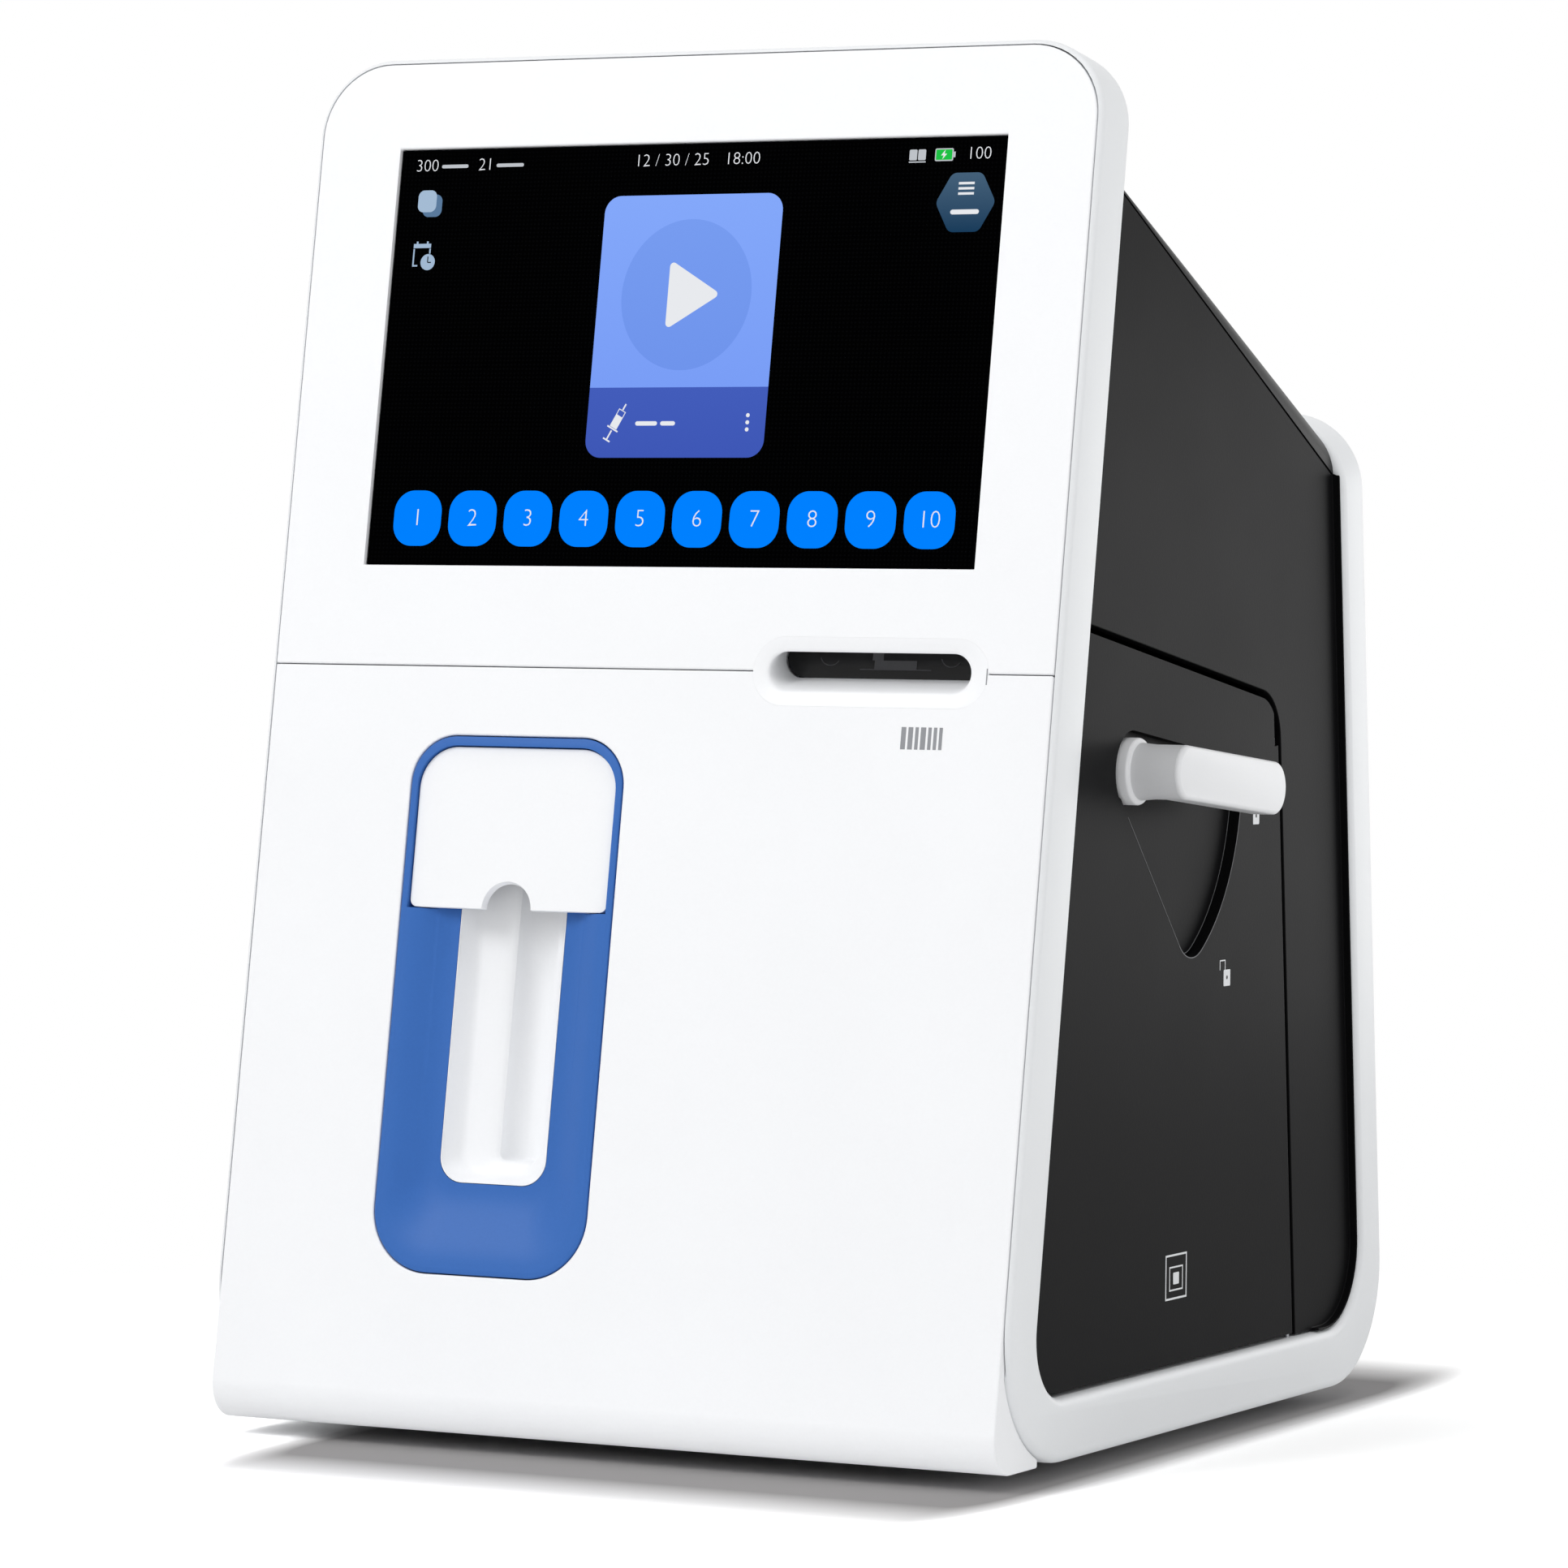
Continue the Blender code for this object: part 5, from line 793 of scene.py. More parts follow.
@dataclass
class Scanner:
    """Bezel flush with the panels, whose face dips into a funnel that climbs inwards."""

    centre: float = 0.0603
    width: float = 0.06436
    height: float = 0.01726
    rise: float = 0.0048

    def ring(self, across: float, up: float, level: float, share: float) -> np.ndarray:
        """Ring of the bezel, moved inwards and up by a share of the rise."""
        centre = (self.centre - across * 0.12, PANEL_SEAM + self.rise * share)
        outline = stadium(centre, self.width - 2 * across, self.height - 2 * up, 20)
        return raised(outline.points(), level, Axis.Y)

    def build(self) -> None:
        """Carry the bezel's section round the stadium.

        Each row of the section is inset across, inset up, depth and share of the rise.
        """
        section = ((0.0, 0.0, 0.0130, 1.0), (0.0, 0.0, 0.0095, 1.0), (0.0, 0.0, 0.0032, 0.0),
                   (0.0, 0.0, 0.0, 0.0), (0.0006, 0.0005, 0.00004, 0.0),
                   (0.0020, 0.0016, 0.00022, 0.0), (0.0036, 0.0028, 0.00048, 0.0),
                   (0.0042, 0.0034, 0.00065, 0.0), (0.0045, 0.0037, 0.0009, 0.02),
                   (0.0047, 0.0038, 0.0015, 0.08), (0.0048, 0.0039, 0.0026, 0.2),
                   (0.0046, 0.0038, 0.0050, 0.47), (0.0042, 0.0036, 0.0095, 1.0),
                   (0.0040, 0.0036, 0.0130, 1.0))
        rings = np.stack([self.ring(*row) for row in section])
        piece = add_object("scanner_hood", loft(rings, ring_closed=True), Face.FRONT)
        dress(piece, WHITE, "housing", "scanner_bezel", slot="front_white", sharp=40)
        tick = front_print(around((0.0921, PANEL_SEAM - 0.0006), 0.0003, 0.0040, 0))
        add_group("bezel_tick", Face.FRONT, MARK_GREY, "housing", [tick])
        self.build_reader()

    def build_reader(self) -> None:
        """Faint parts of the reader that show through the dark window."""
        depth = 0.00970
        line = 0.00003
        parts = []
        for low, high, shift in (((0.0566, 0.1962), (0.0682, 0.1985), 0.0),
                                 ((0.0560, 0.1985), (0.0590, 0.2036), 0.0),
                                 ((0.0526, 0.1961), (0.0722, 0.19635), line)):
            parts.append(slab(rectangle(low, high), depth - line - shift, depth - shift, Axis.Y))
        for x in (0.0444, 0.0776):
            outer = arc((x, 0.2000), 0.0030, math.pi * 1.1, math.pi * 1.8)
            inner = arc((x, 0.2000), 0.0028, math.pi * 1.8, math.pi * 1.1)
            parts.append(prism(np.concatenate([outer, inner]), depth - line, depth, Axis.Y))
        add_group("reader_parts", Face.FRONT, READER_PARTS, "housing", parts)


@dataclass
class SampleInlet:
    """Blue surround with its dish, the stepped channel and the flap."""

    centre: float = -0.0363
    width: float = 0.0612
    low: float = 0.0405
    high: float = 0.1765
    top_radius: float = 0.0125
    bottom_radius: float = 0.0163
    depth: float = 0.0072
    dish: float = 0.0047
    rim: float = 0.0016
    channel: float = 0.0309
    channel_low: float = 0.0637
    channel_top: float = 0.1497
    groove: float = 0.0060
    bar: tuple = (0.0032, 0.1600)
    flap_width: float = 0.0566
    flap_low: float = 0.1327
    flap_high: float = 0.1736
    flap_recess: float = 0.0010
    flap_thickness: float = 0.0020
    notch: float = 0.0068
    shelf: float = 0.0012
    mouth_radius: float = 0.0066

    def box(self, half: float, low: float, high: float, *radii: float) -> Outline:
        """Rectangle about the inlet's middle, with its lower and upper corner radii."""
        lower, upper = radii or (0, 0)
        return upright(half, low, high, (lower, lower, upper, upper), 16, self.centre)

    def outline(self, inset: float) -> Outline:
        """Outline of the surround, moved inwards."""
        return self.box(self.width / 2 - inset, self.low + inset, self.high - inset,
                        self.bottom_radius - inset, self.top_radius - inset)

    def dish_tool(self) -> Surface:
        """Cutter of the dish, its wall an S from the rim down to the channel's edge.

        A ring at share s lies between the rim's outline and the channel's, at a depth
        of dish (3 s^2 - 2 s^3).
        """
        top = self.flap_low + 0.0014
        wide = self.box(self.width / 2 - self.rim, self.low + self.rim, top,
                        self.bottom_radius - self.rim, 0.0002).points()
        deep = self.box(self.channel / 2 + 0.0008, self.channel_low - 0.0008, top,
                        0.0068, 0.0002).points()
        rows = [(0.0, -OVER)]
        for share in np.linspace(0, 1, 13):
            rows.append((share, self.dish * (3 * share ** 2 - 2 * share ** 3) + 0.00001))
        return loft(np.stack([raised(wide + (deep - wide) * share, level, Axis.Y)
                              for share, level in rows]))

    def build_surround(self) -> None:
        """Plate with the dish, the flap's opening and the channel's mouth."""
        piece = add_object("blue_surround",
                           slab(self.outline(GAP), 0, self.depth, Axis.Y, 0.0004, 0, 3),
                           Face.FRONT)
        half = self.flap_width / 2 + GAP
        top = self.flap_high + GAP
        seat = self.box(half, self.flap_low - GAP, top, 0, 0.0108)
        upper = self.box(half, self.bar[1] - 0.0040, top, 0, 0.0108)
        lower = self.box(half - self.shelf, self.flap_low + self.shelf, self.bar[1])
        mouth = self.box(self.channel / 2 - GAP / 2, self.channel_low + GAP / 2,
                         self.flap_low + OVER, self.mouth_radius, 0)
        cut(piece, Face.FRONT, self.dish_tool(),
            cutter(seat, self.flap_recess + self.flap_thickness + GAP),
            *[cutter(opening, 0.01) for opening in (upper, lower, mouth)])
        soften(piece, 0.0003, 50)
        dress(piece, BLUE, "housing", "sample_surround", slot="inlet_blue")

    def trough(self, insets: tuple, round_off: float, level: float) -> np.ndarray:
        """Ring of the trough at a depth, with its own insets left, right and below."""
        left = self.centre - self.channel / 2 + insets[0]
        right = self.centre + self.channel / 2 - insets[1]
        radius = min(round_off, (right - left) * 0.49)
        outline = rectangle((left, self.channel_low + insets[2]),
                            (right, self.channel_top + OVER), (radius, radius, 0, 0), 16)
        return raised(outline.points(), level, Axis.Y)

    def rings(self) -> np.ndarray:
        """Rings of the trough: its wall, the ledge on the left, and the wide round groove.

        The groove is a quarter circle on each side, with its left edge at the ledge.
        """
        walls = ((0.0003, 0.0020), (0.0004, 0.0046), (0.0007, 0.0054), (0.0023, 0.0080),
                 (0.0031, 0.0090), (0.0038, 0.0095), (0.0048, 0.0098))
        rings = [self.trough((inset, inset, inset * 0.75), 0.0070, level)
                 for inset, level in walls]
        ledge = ((0.0074, 0.0046, 0.0101, 0.0060), (0.0104, 0.0056, 0.0104, 0.0040),
                 (0.0124, 0.0063, 0.0107, 0.0028), (0.0131, 0.0066, 0.0110, 0.0022))
        rings += [self.trough((left, 0.0049, low), radius, level)
                  for left, low, level, radius in ledge]
        for turn in np.linspace(0, QUARTER, 10):
            across = self.groove * (1 - math.cos(turn))
            rings.append(self.trough((0.0136 + across, 0.0051 + across, 0.0068 + 0.2 * across),
                                     0.0020, 0.0114 + self.groove * math.sin(turn)))
        return np.stack(rings)

    def build_channel(self) -> None:
        """Block with the stepped trough and the collar that lines the dish."""
        wall = 0.0025
        block = self.box(self.channel / 2 + wall, self.channel_low - wall, self.channel_top,
                         0.006, 0)
        piece = add_object("syringe_trough", slab(block, self.depth + GAP, 0.0190, Axis.Y),
                           Face.FRONT)
        collar = self.box(self.channel / 2 - GAP, self.channel_low + GAP, self.channel_top,
                          self.mouth_radius, 0)
        join(piece, Face.FRONT, slab(collar, self.dish, 0.0100, Axis.Y))
        cut(piece, Face.FRONT, loft(self.rings()))
        dress(piece, WHITE, "housing", "syringe_channel", slot="front_white", sharp=38)

    def build_flap(self) -> None:
        """Flap with its half-round notch and the two knuckles behind it."""
        half = self.flap_width / 2
        back = self.flap_recess + self.flap_thickness
        plate = self.box(half, self.flap_low, self.flap_high, 0.002, 0.0105)
        piece = add_object("flap_plate", slab(plate, self.flap_recess, back, Axis.Y), Face.FRONT)
        slope = 0.25
        notch = [(self.notch + slope * (OVER - level), level) for level in (-OVER, 3 * OVER)]
        cut(piece, Face.FRONT, turned(notch, (self.centre - 0.0004, self.flap_low), Axis.Y))
        knuckles = [prism(disc(self.bar, 0.0021, 24), self.centre + start,
                          self.centre + start + 0.008, Axis.X) for start in (-0.0233, 0.0153)]
        join(piece, Face.FRONT, *knuckles)
        cut(piece, Face.FRONT,
            prism(disc(self.bar, 0.0011, 16), self.centre - half, self.centre + half, Axis.X))
        soften(piece, 0.0004)
        dress(piece, WHITE, "flap", "sample_flap", slot="front_white")


INLET = SampleInlet()


@dataclass
class Covers:
    """Dark top cover and side covers."""

    crease: tuple = (0.3122, 0.2433)
    crown: tuple = (0.3146, 0.2583)
    edges: tuple = (0.0050, 0.0160)
    lip: tuple = (0.0006, 0.0021)
    lip_end: float = 0.045
    top_wall: float = 0.0022

    @staticmethod
    def arch(half: float, edge: float, crease: float, crown: float) -> np.ndarray:
        """Quarter arch at (half - e + e cos t, crease + (crown - crease) sin t)."""
        turn = np.linspace(0, QUARTER, 15)
        return np.stack([half - edge + edge * np.cos(turn),
                         crease + (crown - crease) * np.sin(turn)], -1)

    def build_top(self) -> None:
        """Lid whose rounded side edges grow towards the back.

        Its crease, crown and edge run evenly from front to back.
        """
        rings = []
        for share in np.linspace(0, 1, 25):
            crease, crown, edge = [between(pair, share)
                                   for pair in (self.crease, self.crown, self.edges)]
            outer = self.arch(COVER_HALF, edge, crease, crown)
            inner = self.arch(COVER_HALF - self.top_wall, edge, crease, crown - self.top_wall)
            flip = np.array([-1, 1])
            section = np.concatenate([outer, outer[::-1] * flip, inner * flip, inner[::-1]])
            place = between((front_y(FRONT_BAND + GAP, self.crease[0]),
                             rear_y(REAR_BAND + GAP, self.crease[1])), share)
            lean = (1 - share) * math.tan(FRONT_LEAN) - share * math.tan(REAR_LEAN)
            rings.append(np.stack([section[:, 0], place + (section[:, 1] - crease) * lean,
                                   section[:, 1]], -1))
        piece = add_object("lid", loft(np.stack(rings)), Face.BODY)
        dress(piece, TOP_DARK, "housing", "top_cover", slot="cover_dark", sharp=40)

    def outline(self) -> Outline:
        """Outline of a side cover inside the frame."""
        low = SOLE + SEAM_GAP
        corners = ((front_y(FRONT_BAND + SEAM_GAP, low), low),
                   (rear_y(REAR_BAND + SEAM_GAP, low), low),
                   (rear_y(REAR_BAND + SEAM_GAP, self.crease[1]), self.crease[1] - SEAM_GAP),
                   (front_y(FRONT_BAND + SEAM_GAP, self.crease[0]),
                    self.crease[0] - SEAM_GAP))
        return Outline(corners, (0.016, 0.021, 0, 0), 16)

    def lip_parts(self, side: int) -> tuple:
        """Lip along the rear edge of a side cover, and the cutter that leaves it so thin."""
        thickness, height = self.lip
        low, high = sorted((side * (COVER_HALF - 0.001), side * (COVER_HALF + height)))
        strip = slab(self.outline(), low, high, Axis.X)
        top = self.crease[1] + 0.1
        rear = REAR_BAND + SEAM_GAP + thickness
        foot = SOLE + SEAM_GAP + thickness
        end = rear_y(self.lip_end, 0)
        corners = ((-0.1, -0.1), (end, -0.1), (end, foot), (rear_y(rear, foot), foot),
                   (rear_y(rear, top), top), (-0.1, top))
        rest = slab(Outline(corners, (0, 0, 0, 0.0204, 0, 0), 16), low - 0.01, high + 0.01, Axis.X)
        return strip, rest

    def add_lip(self, piece: bpy.types.Object, side: int) -> None:
        """Join the lip to its cover."""
        strip, rest = self.lip_parts(side)
        lip = add_object("cover_lip", strip, Face.BODY)
        cut(lip, Face.BODY, rest)
        attach(piece, lip, "UNION")
        evaluate(piece)
        discard(lip)

    def build_sides(self) -> None:
        """Left cover with vent slots, right cover cut out round the door."""
        outer = COVER_HALF
        inner = outer - COVER_WALL
        left = add_object("left_side", slab(self.outline(), -outer, -inner, Axis.X), Face.BODY)
        vents = []
        for row in range(8):
            height = 0.05 + row * 0.0075
            right = rear_y(0.045, height)
            vents.append(slab(stadium((right - 0.017, height), 0.034, 0.003, 8),
                              -outer - OVER, -inner + OVER, Axis.X))
        cut(left, Face.BODY, *vents)
        self.add_lip(left, -1)
        soften(left, 0.0005)
        dress(left, DARK, "housing", "side_cover_left", slot="cover_dark")
        right = add_object("right_side", slab(self.outline(), inner, outer, Axis.X), Face.BODY)
        spread = 0.00205
        corners = DOOR.corners(spread, -OVER)
        corners[0] = (corners[0][0] - OVER, corners[0][1])
        corners[3] = (corners[3][0] - OVER * math.cos(FRONT_LEAN),
                      corners[3][1] + OVER * math.sin(FRONT_LEAN))
        hole = Outline(tuple(corners), (0, 0, 0.012 + spread, 0), 16)
        cut(right, Face.BODY, slab(hole, inner - OVER, outer + OVER, Axis.X))
        self.add_lip(right, 1)
        soften(right, 0.0005)
        dress(right, DARK, "housing", "side_cover_right", slot="cover_dark")


@dataclass
class Door:
    """Cartridge door with the lever's sector pocket, and the marks printed on it."""

    hinge: float = 0.0568
    top: float = 0.2080
    pivot: tuple = (0.0809, 0.1673)
    rest: float = -math.radians(5.4)
    turn: float = math.radians(40.5)
    half_width: float = 0.0096
    sweep_depth: float = 0.0027
    pad: float = 0.0067
    track: tuple = (0.0006, 0.0022)
    rim: tuple = (0.0966, 0.1659)
    rim_radius: float = 0.0530
    toe_radius: float = 0.0110
    knuckle: tuple = (0.0220, 0.1777)

    def corners(self, spread: float, sill: float) -> list:
        """Corners of the door, grown at its top and hinge side."""
        low = SOLE + sill
        return [(front_y(FRONT_BAND + SEAM_GAP, low), low),
                (rear_y(self.hinge - spread, low), low),
                level_at_rear(self.top + spread, self.hinge - spread),
                front_point(FRONT_BAND + SEAM_GAP, self.top + spread)]

    def toe(self) -> tuple:
        """Centre of the pocket's lower corner, and the angle where it meets the rim.

        The corner touches the pocket's straight side, half_width from the pivot, and
        the rim from inside, so its centre lies rim_radius - toe_radius from the rim's.
        """
        free = self.rest - self.turn
        along = np.array([math.cos(free), math.sin(free)])
        inward = np.array([-along[1], along[0]])
        side = (np.array(self.pivot) - inward * self.half_width) @ inward
        lift = np.array(self.rim) @ inward - side - self.toe_radius
        run = math.sqrt((self.rim_radius - self.toe_radius) ** 2 - lift ** 2)
        centre = np.array(self.rim) - inward * lift + along * run
        away = centre - np.array(self.rim)
        return tuple(centre), math.atan2(away[1], away[0])

    def edge_path(self, grow: float, top: float = 0.05) -> np.ndarray:
        """Pocket's edge from its straight side round the corner and up the rim."""
        centre, meet = self.toe()
        free = self.rest - self.turn
        return np.concatenate([
            arc(self.pivot, self.half_width + grow, free - QUARTER * 1.0001, free - QUARTER, 1),
            arc(centre, self.toe_radius + grow, free - QUARTER, meet, 12),
            arc(self.rim, self.rim_radius + grow, meet, top, 24)[1:]])

    def sweep(self, grow: float) -> np.ndarray:
        """Outline of the lever's pocket, grown by an amount."""
        free = self.rest - self.turn
        upper = self.rest - math.radians(2.5) + QUARTER
        return np.concatenate([self.edge_path(grow),
                               arc(self.pivot, self.half_width + 0.0006 + grow, upper,
                                   free + 3 * QUARTER, 20)[:-1]])

    def band(self, inner: float, outer: float) -> np.ndarray:
        """Band between two insets of the pocket's edge."""
        return np.concatenate([self.edge_path(outer)[2:], self.edge_path(inner)[2:][::-1]])

    def build_leaf(self) -> None:
        """Leaf with its knuckle, the pad behind the pocket and the pocket itself."""
        inner = COVER_HALF - COVER_WALL
        outline = Outline(tuple(self.corners(0, 0.001)), (0.016, 0, 0.012, 0.001), 16)
        piece = add_object("door_leaf", slab(outline, inner, COVER_HALF, Axis.X), Face.BODY)
        pad = prism(self.sweep(0.003), COVER_HALF - self.pad, COVER_HALF - COVER_WALL / 2, Axis.X)
        join(piece, Face.BODY, pad)
        low, high = self.knuckle
        knuckle = prism(disc((COVER_HALF - COVER_WALL / 2, -self.hinge), 0.00155, 24), low, high,
                        Axis.Z)
        join(piece, Face.REAR, knuckle)
        cut(piece, Face.BODY,
            prism(self.sweep(0), COVER_HALF - self.sweep_depth, COVER_HALF + OVER, Axis.X),
            prism(self.band(-self.track[0], 0), COVER_HALF - self.sweep_depth - self.track[1],
                  COVER_HALF, Axis.X),
            prism(disc(self.pivot, 0.0087), COVER_HALF - self.sweep_depth, COVER_HALF + OVER,
                  Axis.X),
            prism(disc(self.pivot, SHAFT_BORE, 24), COVER_HALF - 0.012, COVER_HALF, Axis.X))
        boss = rectangle((inner - OVER, -self.hinge - 0.0021),
                         (COVER_HALF + OVER, -self.hinge + OVER))
        cut(piece, Face.REAR, slab(boss, high, high + 0.024, Axis.Z))
        soften(piece, 0.00035)
        dress(piece, DARK, "door", "cartridge_door", slot="cover_dark")

    def bar(self, low: tuple, high: tuple, radius: float = 0.0) -> Surface:
        """Printed bar between two corners of the side view."""
        return prism(rectangle(low, high, (radius,) * 4, 4).points(), COVER_HALF + 0.00001,
                     COVER_HALF + 0.00005, Axis.X)

    def frame_bars(self, low: tuple, high: tuple, line: float) -> list:
        """Four bars round a rectangle."""
        return [self.bar(low, (high[0], low[1] + line)), self.bar((low[0], high[1] - line), high),
                self.bar((low[0], low[1] + line), (low[0] + line, high[1] - line)),
                self.bar((high[0] - line, low[1] + line), (high[0], high[1] - line))]

    def padlock(self, low: tuple, high: tuple, legs: tuple, top: float) -> list:
        """Body of a padlock and its shackle.

        Args:
            low: lower front corner of the body.
            high: upper rear corner of the body.
            legs: places of the shackle's two legs.
            top: height of the shackle.
        Returns:
            Its four bars.
        """
        line = 0.00032
        return [self.bar(low, high, 0.0003),
                self.bar((legs[0], high[1]), (legs[0] + line, top - line)),
                self.bar((legs[1] - line, high[1]), (legs[1], top - line)),
                self.bar((legs[0], top - line), (legs[1], top), 0.0001)]

    def build_marks(self) -> None:
        """Closed and open padlocks and a cartridge sign, as thin white prints."""
        add_group("door_marks", Face.BODY, MARK_WHITE, "door", [
            *self.padlock((0.1572, 0.1518), (0.1612, 0.1560), (0.1577, 0.1607), 0.1586),
            *self.padlock((0.1391, 0.1108), (0.1433, 0.1150), (0.13655, 0.14015), 0.1176),
            *self.frame_bars((0.1042, 0.0330), (0.1174, 0.0445), 0.0005),
            *self.frame_bars((0.1066, 0.0352), (0.1150, 0.0414), 0.0004),
            self.bar((0.1090, 0.0368), (0.1126, 0.0398), 0.0003)])
        add_group("keyholes", Face.BODY, BLACK, "door", [
            prism(disc(place, 0.0005, 16), COVER_HALF + 0.00005, COVER_HALF + 0.00008, Axis.X)
            for place in ((0.1592, 0.1540), (0.1412, 0.1130))])

    def build_edge_highlights(self) -> None:
        """Painted highlights along the pocket's edges, as thin light strips on it."""
        line = 0.00028
        inset = 0.00002
        side = self.edge_path(inset)[[1, 2]]
        away = self.edge_path(inset + line * 0.6)[[1, 2]]
        strips = [(self.band(inset, line), COVER_HALF),
                  (self.band(-self.track[0] - line, -self.track[0] - inset),
                   COVER_HALF - self.sweep_depth),
                  (np.stack([between(side, 0.12), between(away, 0.12), away[1], side[1]]),
                   COVER_HALF)]
        add_group("pocket_edge_highlights", Face.BODY, EDGE_HIGHLIGHT_GREY, "door", [
            prism(points, level + 0.00001, level + 0.00004, Axis.X) for points, level in strips])


DOOR = Door()


@dataclass
class Lever:
    """Lock lever: flange, round neck and an arm whose flat face curves into the neck."""

    out: float = 0.1241
    length: float = 0.0552
    radius: float = 0.0068
    arm: float = 0.0075
    edge: float = 0.0011
    neck: float = 0.0071
    flange: float = 0.0084
    flange_out: float = 0.1107

    def stadium_points(self, radius: float, length: float) -> np.ndarray:
        """Outline of the arm about the pivot and its tip."""
        rest = DOOR.rest
        pivot = DOOR.pivot
        tip = (pivot[0] + length * math.cos(rest), pivot[1] + length * math.sin(rest))
        return np.concatenate([arc(tip, radius, rest - QUARTER, rest + QUARTER, 24),
                               arc(pivot, radius, rest + QUARTER, rest + 3 * QUARTER, 24)])

    def build(self) -> None:
        """Round the arm's rims, then join it to the neck and the flange."""
        base = COVER_HALF - DOOR.sweep_depth + GAP
        back = self.out - self.arm
        rows = [(back, self.radius - 0.0012), (back + 0.0004, self.radius - 0.0004),
                (back + 0.0012, self.radius)]
        for turn in np.linspace(QUARTER, 0, 6):
            rows.append((self.out - self.edge * (1 - math.cos(turn)),
                         self.radius - self.edge * (1 - math.sin(turn))))
        arm = loft(np.stack([raised(self.stadium_points(radius, self.length), level, Axis.X)
                             for level, radius in rows]))
        piece = add_object("lock_handle", arm, Face.BODY)
        profile = [(self.flange - 0.0004, base), (self.flange, base + 0.0004),
                   (self.flange, self.flange_out - 0.0006),
                   (self.flange - 0.0002, self.flange_out - 0.0002),
                   (self.flange - 0.0006, self.flange_out), (self.neck + 0.0006, self.flange_out),
                   (self.neck + 0.0001, self.flange_out + 0.0004), (self.neck, 0.1120),
                   (self.radius + 0.00003, 0.1150),
                   (self.radius + 0.00002, self.out - self.edge)]
        join(piece, Face.BODY, turned(profile, DOOR.pivot, Axis.X))
        bore = prism(disc(DOOR.pivot, SHAFT_BORE, 24), 0, base + 0.0093, Axis.X)
        cut(piece, Face.BODY, bore)
        dress(piece, LEVER_GREY, "lever", "lock_lever", slot="lever_grey", sharp=40)


